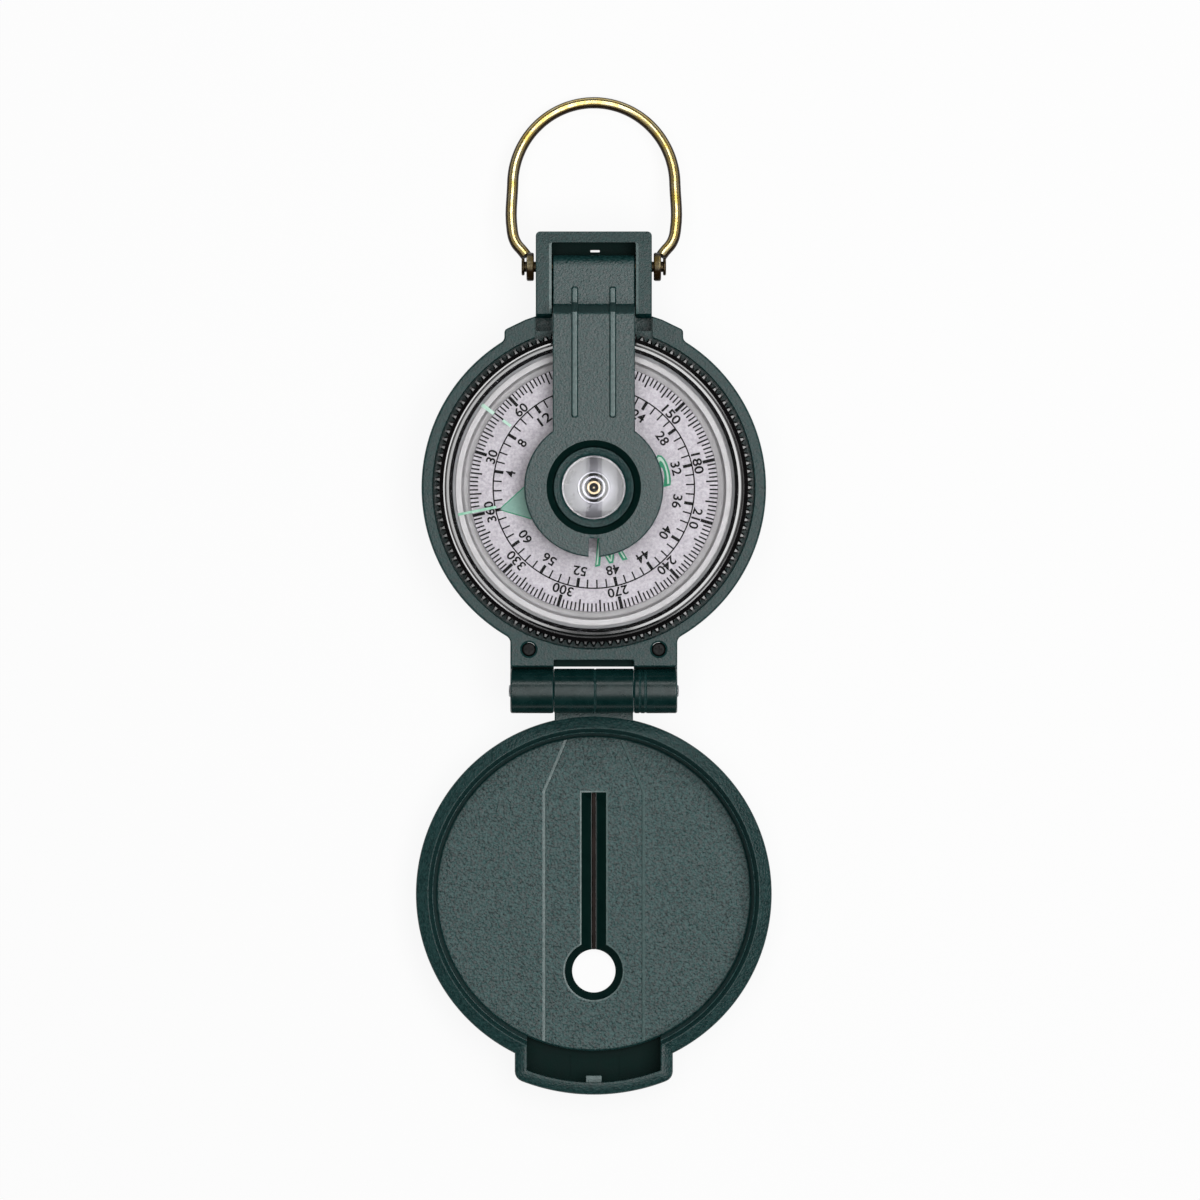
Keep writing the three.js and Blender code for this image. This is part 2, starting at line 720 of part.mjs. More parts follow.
function eyepieceArm() {
  const riserHead = riserFoot - RISER_LEAN;
  const shank = bar([
    [0, armBottom],
    [caseRadius - FLANGE_WIDTH, armBottom],
    [caseRadius + RUN_GAP, flangeTop - CHANNEL_DEPTH + RUN_GAP],
    [caseRadius + RUN_GAP, plateTop - PLATE_THICKNESS],
    ...barrelArc(),
    [riserFoot, plateTop],
    [riserHead, armTop],
    [0, armTop],
  ], -armHalf, armHalf);
  const lensRing = disc(RING_RADIUS, armBottom, armTop, ROUND_SIDES);
  const longRib = (side) => rib(side, armTop, RING_RADIUS + RIB_RING_GAP, riserHead - RIB_HEIGHT);
  const shortRib = (side) => rib(side, plateTop, riserFoot - RISER_LEAN / 2, riserFoot + SHORT_RIB);
  const opening = turned([
    [0, armBottom - OVERCUT],
    [LENS_RADIUS - LENS_LEDGE, armBottom - OVERCUT],
    [LENS_RADIUS - LENS_LEDGE, lensSeat],
    [lensBore, lensSeat],
    [lensBore, lensTop],
    [lensBore + RECESS_FLARE, armTop],
    [lensBore + RECESS_FLARE, armTop + OVERCUT],
    [0, armTop + OVERCUT],
  ], ROUND_SIDES);
  const notchHalfWidth = SIGHT_NOTCH / 2;
  const sightNotch = box(
    [-notchHalfWidth, notchHalfWidth],
    [-RING_RADIUS - OVERCUT, -LENS_RADIUS],
    [armBottom - OVERCUT, armTop + OVERCUT],
  );
  const boreEnd = armHalf + OVERCUT;
  const pinBore = crossRod(PIVOT_PIN_RADIUS + RUN_GAP, -boreEnd, boreEnd, pivotY, pivotZ);
  return shank
    .add(lensRing)
    .add(mirrored(longRib))
    .add(mirrored(shortRib))
    .subtract(opening)
    .subtract(sightNotch)
    .subtract(pinBore);
}

// A double-convex disc whose faces are arcs that rise by the crown height.
function eyepieceLens() {
  const bottom = lensSeat + FIT_GAP;
  const top = bottom + LENS_EDGE;
  const profile = [];
  for (let step = 0; step <= LENS_STEPS; step += 1) {
    const radius = (LENS_RADIUS * step) / LENS_STEPS;
    profile.push([radius, bottom - LENS_CROWN * (1 - (step / LENS_STEPS) ** 2)]);
  }
  for (let step = LENS_STEPS; step >= 0; step -= 1) {
    const radius = (LENS_RADIUS * step) / LENS_STEPS;
    profile.push([radius, top + LENS_CROWN * (1 - (step / LENS_STEPS) ** 2)]);
  }
  return turned(profile, SMALL_SIDES * 2);
}

function lensRetainer() {
  const outer = LENS_RADIUS + FIT_GAP;
  const inner = outer - RETAINER_WIDTH;
  const crownAtInner = LENS_CROWN * (1 - (inner / LENS_RADIUS) ** 2);
  const bottom = lensTop + crownAtInner + FIT_GAP;
  return ring(inner, outer, bottom, bottom + RETAINER_HEIGHT, SMALL_SIDES * 2);
}

// Thumb loop

function thumbLoop() {
  const neckX = (eyeInner + eyeOuter) / 2 + WIRE_RADIUS / 2;
  const start = PIVOT_HEAD_RADIUS + 2 * RUN_GAP;
  const bend = start + LOOP_NECK;
  const legs = (side) => [
    new THREE.Vector3(side * neckX, start, 0),
    new THREE.Vector3(side * neckX, start + WIRE_RADIUS, 0),
    new THREE.Vector3(side * LOOP_HALF_WIDTH, bend, 0),
  ];
  const arch = [];
  for (let step = 0; step <= ARCH_STEPS; step += 1) {
    const angle = (step / ARCH_STEPS) * Math.PI;
    const x = LOOP_HALF_WIDTH * Math.cos(angle);
    arch.push(new THREE.Vector3(x, LOOP_LEG + LOOP_ARCH * Math.sin(angle), 0));
  }
  const route = new THREE.CatmullRomCurve3([...legs(1), ...arch, ...legs(-1).reverse()]);
  const section = new THREE.Shape();
  section.absarc(0, 0, WIRE_RADIUS, 0, 2 * Math.PI, false);
  const wire = toSolid(new THREE.ExtrudeGeometry(section, {
    steps: WIRE_STEPS,
    curveSegments: WIRE_SIDES / 2,
    extrudePath: route,
    bevelEnabled: false,
  }));
  const eye = (side) => {
    const across = span(side, eyeInner, eyeOuter);
    const tang = box(across, [0, start + 2 * WIRE_RADIUS], [-WIRE_RADIUS, WIRE_RADIUS]);
    return crossRod(EYE_RADIUS, ...across, 0, 0).add(tang);
  };
  const boreEnd = eyeOuter + OVERCUT;
  const pinBore = crossRod(PIVOT_PIN_RADIUS + RUN_GAP, -boreEnd, boreEnd, 0, 0);
  return wire.add(mirrored(eye)).subtract(pinBore);
}

// Cover, made about its own centre with the outer face down

const coverFloor = SPINE_RAISE + COVER_FLOOR;
const latchInner = Math.hypot(riserFoot, armHalf) + LATCH_GAP;
const latchRadius = latchInner + LATCH_WALL;
const latchHalf = LATCH_WIDTH / 2;

// The raised band down the middle, drawn in towards the hinge.
function spineOutline() {
  const half = SPINE_WIDTH / 2;
  const neck = SPINE_NECK_WIDTH / 2;
  const taperStart = coverBore - SPINE_TAPER;
  return outline([
    [-half, -coverBore],
    [half, -coverBore],
    [half, taperStart],
    [neck, coverBore],
    [-neck, coverBore],
    [-half, taperStart],
  ]);
}

function coverShell() {
  const rounding = [];
  for (let step = 0; step <= EDGE_STEPS; step += 1) {
    const angle = (step / EDGE_STEPS) * (Math.PI / 2);
    const radius = coverRadius - COVER_EDGE_ROUND * (1 - Math.sin(angle));
    rounding.push([radius, SPINE_RAISE + COVER_EDGE_ROUND * (1 - Math.cos(angle))]);
  }
  const body = turned([[0, SPINE_RAISE], ...rounding, [coverRadius, coverRim], [0, coverRim]]);
  const cavity = turned([
    [0, coverFloor],
    [coverBore - COVER_WALL_DRAFT, coverFloor],
    [coverBore, coverRim],
    [coverBore, coverRim + OVERCUT],
    [0, coverRim + OVERCUT],
  ]);
  const spineDisc = disc(coverBore, 0, coverFloor, ROUND_SIDES);
  const spine = plate(spineOutline(), 0, coverFloor).intersect(spineDisc);
  const floorDisc = disc(coverBore - COVER_WALL_DRAFT, 0, coverRim, ROUND_SIDES);
  const recess = plate(spineOutline(), coverFloor - SPINE_RECESS, coverRim).intersect(floorDisc);
  const latchBottom = coverFloor - LATCH_FLOOR_DROP;
  const latchBand = box([-latchHalf, latchHalf], [-latchRadius, 0], [SPINE_RAISE, coverRim]);
  const latch = disc(latchRadius, SPINE_RAISE, coverRim, ROUND_SIDES).intersect(latchBand);
  const innerHalf = latchHalf - LATCH_WALL;
  const latchCut = coverRim + OVERCUT;
  const recessBand = box([-innerHalf, innerHalf], [-latchRadius, 0], [latchBottom, latchCut]);
  const latchRecess = disc(latchInner, latchBottom, latchCut, ROUND_SIDES)
    .intersect(recessBand)
    .subtract(floorDisc);
  const nubTop = coverRim - NUB_DROP;
  const nub = box(
    [-NUB_WIDTH / 2, NUB_WIDTH / 2],
    [-latchInner - LATCH_WALL / 2, -latchInner + NUB_REACH],
    [nubTop - NUB_HEIGHT, nubTop],
  );
  const axisY = -hingeY;
  const neckBottom = coverRim - COVER_EDGE_ROUND;
  const neck = box([-knuckleHalf, knuckleHalf], [coverBore, axisY], [neckBottom, coverRim]);
  const knuckle = crossRod(KNUCKLE_RADIUS, -knuckleHalf, knuckleHalf, axisY, hingeZ, ROUND_SIDES / 2);
  const pinBore = crossRod(HINGE_PIN_RADIUS + RUN_GAP, -hingeHalf, hingeHalf, axisY, hingeZ);
  return body
    .add(spine)
    .add(latch)
    .add(neck)
    .add(knuckle)
    .subtract(cavity)
    .subtract(latchRecess)
    .subtract(recess)
    .add(nub)
    .subtract(pinBore)
    .subtract(sightOpening());
}

// The flared slot with its thin slit, ending in the round sighting hole.
function sightOpening() {
  const surface = coverFloor - SPINE_RECESS;
  const slotFloor = surface / 2;
  const slotHalf = SLOT_WIDTH / 2;
  const slitHalf = SLIT_WIDTH / 2;
  const bottomHalf = (slotHalf + slitHalf) / 2;
  const flaredSlot = new THREE.ExtrudeGeometry(outline([
    [-bottomHalf, slotFloor],
    [bottomHalf, slotFloor],
    [slotHalf, surface],
    [slotHalf, coverRim],
    [-slotHalf, coverRim],
    [-slotHalf, surface],
  ]), { depth: SLOT_TOP + SIGHT_HOLE_OFFSET, bevelEnabled: false });
  flaredSlot.rotateX(Math.PI / 2).translate(0, SLOT_TOP, 0);
  const slit = box([-slitHalf, slitHalf], [-SIGHT_HOLE_OFFSET, SLOT_TOP], [-OVERCUT, coverRim]);
  const socketEnd = SLOT_TOP + SIGHT_WIRE_SET + RUN_GAP;
  const socket = box([-slitHalf, slitHalf], [0, socketEnd], [slotFloor / 2, coverRim]);
  const hole = turned([
    [0, -OVERCUT],
    [SIGHT_HOLE_RADIUS, -OVERCUT],
    [SIGHT_HOLE_RADIUS, slotFloor],
    [SIGHT_HOLE_RADIUS + SIGHT_HOLE_FLARE, surface],
    [SIGHT_HOLE_RADIUS + SIGHT_HOLE_FLARE, coverRim],
    [0, coverRim],
  ], SMALL_SIDES * 2);
  return toSolid(flaredSlot)
    .add(slit)
    .add(socket)
    .add(hole.translate([0, -SIGHT_HOLE_OFFSET, 0]));
}

function sightWire() {
  const surface = coverFloor - SPINE_RECESS;
  const start = -SIGHT_HOLE_OFFSET + SIGHT_HOLE_RADIUS;
  const end = SLOT_TOP + SIGHT_WIRE_SET;
  const wire = new THREE.CylinderGeometry(SIGHT_WIRE_RADIUS, SIGHT_WIRE_RADIUS, end - start, WIRE_SIDES);
  return toSolid(wire.translate(0, (start + end) / 2, surface / 2));
}

// Assembly

const compass = new THREE.Group();

compass.add(
  node('case_shell', caseShell(), greenPlastic()),
  node('base_plate', basePlate(), greenPlastic()),
  node('hinge_block', hingeBlock(), greenPlastic()),
  node('hinge_screw_left', hingeScrew(-1), springSteel()),
  node('hinge_screw_right', hingeScrew(1), springSteel()),
  node('cover_hinge_pin', hingePin(), springSteel()),
  node('eyepiece_pin', eyepiecePin(), springSteel()),
  node('bezel_snap_ring', snapRing(), springSteel()),
  node('bezel_click_spring', clickSpring(), springSteel()),
);

compass.add(
  node('bezel_ring', bezelRing(), blackPlastic()),
  node('crystal', crystal(), clear(0xe6ecee, 0.2)),
  node('crystal_seal', crystalSeal(), plastic(0x1a1a1a, 0.8)),
  node('capsule_cup', capsuleCup(), plastic(0xe9e9ec, 0.5)),
  node('capsule_fill_plug', fillPlug(), plastic(0xd8d8d8, 0.6)),
  node('pivot_needle', pivotNeedle(), springSteel()),
);

compass.add(
  node('dial_card', dialCard(), metal(0xaba7ad, 0.5)),
  node('card_hub', cardHub(), metal(0xc4c2c6, 0.3)),
  node('card_magnet', cardMagnet(), metal(0x5d5f63, 0.45)),
  node('pivot_jewel', pivotJewel(), brass()),
);

compass.add(
  node('eyepiece_arm', eyepieceArm(), greenPlastic()),
  node('eyepiece_lens', eyepieceLens(), clear(0xf2f6f6, 0.15)),
  node('lens_retainer', lensRetainer(), greenPlastic()),
);

const openCover = new THREE.Group();
openCover.position.set(0, 2 * hingeY, 0);
openCover.add(
  node('cover_shell', coverShell(), greenPlastic()),
  node('sight_wire', sightWire(), plastic(0x101213, 0.4)),
);
compass.add(openCover);

// The loop hangs down from its pivot until the arch rests on the table.
const restingLoop = new THREE.Group();
restingLoop.position.set(0, pivotY, pivotZ);
restingLoop.rotation.x = -Math.asin((pivotZ - WIRE_RADIUS) / (LOOP_LEG + LOOP_ARCH));
restingLoop.add(node('thumb_loop', thumbLoop(), brass()));
compass.add(restingLoop);

export default compass;
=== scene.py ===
import json
import math

import bmesh
import bpy
from mathutils import Matrix, Vector


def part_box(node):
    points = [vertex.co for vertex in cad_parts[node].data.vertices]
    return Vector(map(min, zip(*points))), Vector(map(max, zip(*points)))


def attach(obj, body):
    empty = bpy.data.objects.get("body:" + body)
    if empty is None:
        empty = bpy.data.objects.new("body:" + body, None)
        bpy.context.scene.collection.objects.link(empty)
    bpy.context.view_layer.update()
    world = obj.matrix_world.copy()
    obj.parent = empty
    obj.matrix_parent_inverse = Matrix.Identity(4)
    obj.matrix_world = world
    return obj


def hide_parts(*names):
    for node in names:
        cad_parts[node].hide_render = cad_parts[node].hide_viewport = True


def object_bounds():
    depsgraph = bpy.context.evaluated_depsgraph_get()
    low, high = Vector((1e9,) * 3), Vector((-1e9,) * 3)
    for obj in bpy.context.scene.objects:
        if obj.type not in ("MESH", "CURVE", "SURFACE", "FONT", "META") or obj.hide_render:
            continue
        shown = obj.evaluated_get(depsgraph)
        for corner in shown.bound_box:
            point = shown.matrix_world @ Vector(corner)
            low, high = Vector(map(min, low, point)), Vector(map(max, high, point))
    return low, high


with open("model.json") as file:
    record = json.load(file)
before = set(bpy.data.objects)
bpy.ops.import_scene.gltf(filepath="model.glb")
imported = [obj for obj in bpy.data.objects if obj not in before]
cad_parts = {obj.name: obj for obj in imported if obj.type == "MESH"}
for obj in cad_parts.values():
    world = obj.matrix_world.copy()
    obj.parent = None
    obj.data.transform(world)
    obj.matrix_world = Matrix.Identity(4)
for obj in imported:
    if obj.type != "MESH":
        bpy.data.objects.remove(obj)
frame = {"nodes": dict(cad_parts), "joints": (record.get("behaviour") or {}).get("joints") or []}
cad_low, cad_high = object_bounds()

# Table, lamps and camera
# A plain white table with a low white backdrop, under two softboxes that hang beside the camera's
# line, the brighter one to the right, and a third behind. The camera looks straight down.

MM = 0.001
PHOTO_WIDTH = 193.5  # what the picture takes in, at the level of the cover's rim
PHOTO_CENTRE = (1.0, -18.1)
RIM_LEVEL = 9.0
CAMERA_HEIGHT = 2500.0
SENSOR_WIDTH = 36.0
LAMP_HEIGHT = 600.0
TABLE_HALF = 6000.0
TABLE_GAP = 0.05  # the table lies just under the compass
TABLE_WHITE = 0.93
WHITE_SHARE = 0.9  # how much of the table's white isn't touched by shadow
CEILING = ((0.6, 0.95), (0.02, 0.45))  # how high in the room, from 0 to 1, and how bright there
BACKDROP = ((0.08, 0.14), (1.0, 0.0))


def placed(name, data):
    """A new object in the scene that holds the given data."""
    made = bpy.data.objects.new(name, data)
    bpy.context.scene.collection.objects.link(made)
    return made


def feed(tree, node, inputs):
    """Sets a node's inputs, each to a plain value or by a link from another node's output."""
    for key, value in inputs.items():
        if isinstance(value, bpy.types.NodeSocket):
            tree.links.new(value, node.inputs[key])
        else:
            node.inputs[key].default_value = value


def put(tree, kind, inputs=None, **settings):
    """A new node with its settings and its inputs."""
    node = tree.nodes.new(kind)
    for name, value in settings.items():
        setattr(node, name, value)
    feed(tree, node, inputs or {})
    return node


def reckon(tree, operation, *values):
    """The output of a sum on numbers and on other nodes' outputs."""
    return put(tree, "ShaderNodeMath", dict(enumerate(values)), operation=operation).outputs[0]


def spread(tree, value, given, wanted):
    """A value that runs over the wanted range as another runs over the given one."""
    return put(tree, "ShaderNodeMapRange", {
        "Value": value, "From Min": given[0], "From Max": given[1],
        "To Min": wanted[0], "To Max": wanted[1],
    }).outputs["Result"]


def shaded(name):
    """A new material, its node tree and its shader."""
    material = bpy.data.materials.new(name)
    material.use_nodes = True
    return material, material.node_tree, material.node_tree.nodes["Principled BSDF"]


def softbox(name, centre, size, radiance):
    """A flat lamp that faces down on the table."""
    lamp = bpy.data.lights.new(name, "AREA")
    lamp.shape = "RECTANGLE"
    lamp.size = size[0] * MM
    lamp.size_y = size[1] * MM
    lamp.energy = radiance * math.pi * lamp.size * lamp.size_y
    placed(name, lamp).location = Vector((*centre, LAMP_HEIGHT)) * MM


softbox("right_softbox", (183, -30), (294, 480), 4.5)
softbox("left_softbox", (-120, -30), (170, 480), 2.9)
softbox("far_softbox", (60, 470), (500, 170), 4.2)

room = bpy.data.worlds.new("dim_room")
room.use_nodes = True
bpy.context.scene.world = room
tree = room.node_tree
tree.nodes.clear()
direction = put(tree, "ShaderNodeTexCoord").outputs["Generated"]
height = put(tree, "ShaderNodeSeparateXYZ", {0: direction}).outputs["Z"]
strength = reckon(tree, "MAXIMUM", spread(tree, height, *CEILING), spread(tree, height, *BACKDROP))
room_light = put(tree, "ShaderNodeBackground", {"Strength": strength})
put(tree, "ShaderNodeOutputWorld", {"Surface": room_light.outputs[0]})

table_paint, tree, paint = shaded("table_paint")
feed(tree, paint, {
    "Base Color": (TABLE_WHITE, TABLE_WHITE, TABLE_WHITE, 1), "Roughness": 0.9, "Specular IOR Level": 0.1,
})
white = put(tree, "ShaderNodeEmission", {"Color": (1, 1, 1, 1), "Strength": 1.0})
ray = put(tree, "ShaderNodeLightPath").outputs
direct = reckon(tree, "MAXIMUM", ray["Is Camera Ray"], ray["Is Transmission Ray"])
seen = reckon(tree, "MAXIMUM", direct, ray["Is Glossy Ray"])
share = reckon(tree, "MULTIPLY", seen, WHITE_SHARE)
both = put(tree, "ShaderNodeMixShader", {0: share, 1: paint.outputs[0], 2: white.outputs[0]})
feed(tree, tree.nodes["Material Output"], {"Surface": both.outputs[0]})

table_mesh = bpy.data.meshes.new("table")
table_level = cad_low.z - TABLE_GAP * MM
far = TABLE_HALF * MM
table_corners = [(x, y, table_level) for x, y in ((-far, -far), (far, -far), (far, far), (-far, far))]
table_mesh.from_pydata(table_corners, [], [(0, 1, 2, 3)])
table_mesh.materials.append(table_paint)
table = placed("table", table_mesh)

lens = bpy.data.cameras.new("overhead_camera")
lens.sensor_width = SENSOR_WIDTH
lens.lens = SENSOR_WIDTH * CAMERA_HEIGHT / PHOTO_WIDTH
lens.clip_start = 0.01
lens.clip_end = 20
camera = placed("overhead_camera", lens)
camera.location = Vector((*PHOTO_CENTRE, RIM_LEVEL + CAMERA_HEIGHT)) * MM
bpy.context.scene.camera = camera
bpy.context.scene.view_settings.view_transform = "Standard"

# Base plate
# A moulded disc of the same green plastic as the case, pressed into the case from below, that
# closes it and carries it on the table. Sizes here and below are millimetres.

FINE_SIDES = 192  # facets on a full turn
FILLET_STEPS = 4
SAME_PLACE = 1e-4  # points nearer to each other than this are one


def box_of(node):
    """A CAD node's lowest and highest corner, in millimetres."""
    low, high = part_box(node)
    return low / MM, high / MM


def rounded(corners):
    """A closed outline from (u, v) or (u, v, radius) corners, with an arc at each radius."""
    points = []
    for index, (u, v, *radius) in enumerate(corners):
        corner = Vector((u, v))
        if not radius:
            points.append(corner)
            continue
        before = (Vector(corners[index - 1][:2]) - corner).normalized()
        after = (Vector(corners[(index + 1) % len(corners)][:2]) - corner).normalized()
        half = before.angle(after) / 2
        centre = corner + (before + after).normalized() * (radius[0] / math.sin(half))
        start = corner + before * (radius[0] / math.tan(half)) - centre
        end = corner + after * (radius[0] / math.tan(half)) - centre
        first = math.atan2(start.y, start.x)
        turn = (math.atan2(end.y, end.x) - first + math.pi) % (2 * math.pi) - math.pi
        for step in range(FILLET_STEPS + 1):
            angle = first + turn * step / FILLET_STEPS
            points.append(centre + Vector((math.cos(angle), math.sin(angle))) * radius[0])
    return points


def mesh_object(name, points, faces, along="z", centre=(0, 0, 0)):
    """A closed mesh from millimetre points, with its own z axis laid along x, y or z."""
    turns = {"z": (0, 1, 2), "x": (2, 0, 1), "y": (1, 2, 0)}
    places = [(Vector([p[axis] for axis in turns[along]]) + Vector(centre)) * MM for p in points]
    mesh = bpy.data.meshes.new(name)
    mesh.from_pydata(places, [], faces)
    cleaned = bmesh.new()
    cleaned.from_mesh(mesh)
    bmesh.ops.remove_doubles(cleaned, verts=cleaned.verts, dist=SAME_PLACE * MM)
    bmesh.ops.recalc_face_normals(cleaned, faces=cleaned.faces)
    cleaned.to_mesh(mesh)
    cleaned.free()
    return placed(name, mesh)


def turned(name, corners, sides=FINE_SIDES, **placing):
    """A closed (radius, height) outline spun round its axis."""
    points = []
    rings = []
    for radius, level in rounded(corners):
        count = 1 if radius < SAME_PLACE else sides
        rings.append(range(len(points), len(points) + count))
        for side in range(count):
            angle = 2 * math.pi * side / sides
            points.append((radius * math.cos(angle), radius * math.sin(angle), level))
    faces = []
    for low, high in zip(rings, [*rings[1:], rings[0]]):
        if len(low) == len(high) == 1:
            continue
        for side in range(sides):
            after = (side + 1) % sides
            loop = [low[side % len(low)], low[after % len(low)]]
            loop += [high[after % len(high)], high[side % len(high)]]
            faces.append(list(dict.fromkeys(loop)))
    return mesh_object(name, points, faces, **placing)


def disc(name, radius, bottom, top, edges=(), sides=FINE_SIDES, **placing):
    """A round plate or plug whose lower and upper edge may each be rounded."""
    low, high = [[edge] for edge in edges] or [[], []]
    corners = [(0, bottom), (radius, bottom, *low), (radius, top, *high), (0, top)]
    return turned(name, corners, sides, **placing)


def plain_mesh(holder, **kept):
    """A new mesh of what an object shows with its modifiers worked in."""
    graph = bpy.context.evaluated_depsgraph_get()
    return bpy.data.meshes.new_from_object(holder.evaluated_get(graph), depsgraph=graph, **kept)


def work_in(piece):
    """Turns a piece's modifiers into plain mesh."""
    old = piece.data
    piece.data = plain_mesh(piece, preserve_all_data_layers=True)
    piece.modifiers.clear()
    if old.users == 0:
        bpy.data.meshes.remove(old)


def smooth(piece, *materials, angle=35):
    """Gives a piece its materials and round shading, sharp at its edges and where a finish ends."""
    marked = [face.material_index for face in piece.data.polygons]
    piece.data.materials.clear()
    for material in materials:
        piece.data.materials.append(material)
    piece.data.polygons.foreach_set("material_index", marked)
    piece.data.shade_smooth()
    piece.data.set_sharp_from_angle(angle=math.radians(angle))
    finishes = {}
    for face in piece.data.polygons:
        for key in face.edge_keys:
            finishes.setdefault(key, set()).add(face.material_index)
    for edge in piece.data.edges:
        if len(finishes.get(edge.key, ())) > 1:
            edge.use_edge_sharp = True
    flats = piece.modifiers.new("flats", "WEIGHTED_NORMAL")
    flats.keep_sharp = True
    work_in(piece)


def effect(name, inputs, output):
    """A shader group with float inputs, the first a size, and one float output.

    It comes with what it is given, places on the piece and the scale for that size."""
    group = bpy.data.node_groups.new(name, "ShaderNodeTree")
    for label, value in inputs.items():
        socket = group.interface.new_socket(label, in_out="INPUT", socket_type="NodeSocketFloat")
        socket.default_value = value
    group.interface.new_socket(output, in_out="OUTPUT", socket_type="NodeSocketFloat")
    given = put(group, "NodeGroupInput").outputs
    place = put(group, "ShaderNodeTexCoord").outputs["Object"]
    return group, given, place, reckon(group, "DIVIDE", 1.0, given[0])


def mottle_effect():
    """Soft patches, from 0 to 1, as a moulding or a handled metal shows them."""
    group, _, place, scale = effect("mottle", {"Patch Size": 4 * MM}, "Mask")
    noise = put(group, "ShaderNodeTexNoise", {
        "Vector": place, "Scale": scale, "Detail": 4.0, "Roughness": 0.6,
    })
    put(group, "NodeGroupOutput", {"Mask": spread(group, noise.outputs[0], (0.35, 0.65), (0, 1))})
    return group


def grain_effect():
    """The raised pebbles of a grained or blasted mould face."""
    group, _, place, scale = effect("grain", {"Grain Size": 0.5 * MM}, "Height")
    fine = put(group, "ShaderNodeTexNoise", {
        "Vector": place, "Scale": scale, "Detail": 2.0, "Roughness": 0.55,
    })
    pebbles = put(group, "ShaderNodeTexVoronoi", {
        "Vector": place, "Scale": scale, "Smoothness": 0.6,
    }, feature="SMOOTH_F1")
    height = reckon(group, "SUBTRACT", pebbles.outputs["Distance"], fine.outputs[0])
    put(group, "NodeGroupOutput", {"Height": height})
    return group


def scuff_effect():
    """Sparse short hair scratches in two directions, from 0 to 1."""
    group, given, place, scale = effect("scuff", {"Spacing": 3 * MM, "Amount": 0.5}, "Mask")
    masks = []
    for turn in (0.4, -1.0):
        laid = put(group, "ShaderNodeMapping", {
            "Vector": place, "Rotation": (0, 0, turn), "Scale": (1, 14, 4),
        })
        noise = put(group, "ShaderNodeTexNoise", {
            "Vector": laid.outputs[0], "Scale": scale, "Detail": 3.0,
        })
        masks.append(spread(group, noise.outputs[0], (0.66, 0.76), (0, 1)))
    amount = reckon(group, "MULTIPLY", reckon(group, "MAXIMUM", *masks), given["Amount"])
    put(group, "NodeGroupOutput", {"Mask": amount})
    return group


mottle = mottle_effect()
grain = grain_effect()
scuff = scuff_effect()


def srgb(colour):
    """A colour as a screen shows it, 0 to 255, turned into linear light."""
    shares = [value / 255 for value in colour]
    linear = [s / 12.92 if s <= 0.04045 else ((s + 0.055) / 1.055) ** 2.4 for s in shares]
    return (*linear, 1.0)


def mixed(tree, share, first, second):
    """A colour that goes from the first to the second as the share goes from 0 to 1."""
    return put(tree, "ShaderNodeMix", {0: share, 6: first, 7: second}, data_type="RGBA").outputs[2]


def finish(name, colour, patches, scuffs, roughness, patch_size=4.0, scuff_spacing=3.0,
           scuff_amount=0.4, grain_size=0.3, grain_depth=0.01, metallic=0.0, coat=0.0, coat_ior=1.5,
           specular=0.5, painted_shade=None):
    """A solid finish: two screen colours in soft patches, hair scratches, and a grained surface.

    A dark colour, painted as shade, covers the metal where the piece's own attribute for it is 0, and
    fades out as that reaches 1."""
    material, tree, shader = shaded(name)
    patch = put(tree, "ShaderNodeGroup", {"Patch Size": patch_size * MM}, node_tree=mottle).outputs[0]
    scratch = put(tree, "ShaderNodeGroup", {
        "Spacing": scuff_spacing * MM, "Amount": scuff_amount,
    }, node_tree=scuff).outputs[0]
    pebbles = put(tree, "ShaderNodeGroup", {"Grain Size": grain_size * MM}, node_tree=grain).outputs[0]
    ground = mixed(tree, patch, srgb(colour), srgb(patches))
    if painted_shade:
        metallic = put(tree, "ShaderNodeAttribute", attribute_name="unshaded_share").outputs["Fac"]
        ground = mixed(tree, metallic, srgb(painted_shade), ground)
    bump = put(tree, "ShaderNodeBump", {"Height": pebbles, "Distance": grain_depth * MM, "Strength": 1.0})
    feed(tree, shader, {
        "Base Color": mixed(tree, scratch, ground, srgb(scuffs)),
        "Roughness": spread(tree, patch, (0, 1), roughness),
        "Normal": bump.outputs[0],
        "Metallic": metallic,
        "Specular IOR Level": specular,
        "Coat Weight": coat,
        "Coat Roughness": 0.08,
        "Coat IOR": coat_ior,
    })
    return material


green_satin = finish(
    "green_satin", (6, 41, 41), (25, 63, 62), (52, 80, 78), (0.32, 0.46),
    patch_size=0.6, scuff_amount=0.25, grain_size=0.3, grain_depth=0.045, specular=0.4,
)
base_low, base_high = box_of("base_plate")
base_plate = disc("base_plate_moulding", base_high.x, base_low.z, base_high.z, (0.3, 0.2))
smooth(base_plate, green_satin)
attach(base_plate, "case")
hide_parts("base_plate")

# Case
# The round green moulding that everything is hung on: a wall and a flange round the bezel, a tab
# for the cover's hinge, and at the other end two shoulders and a bracket for the eyepiece.

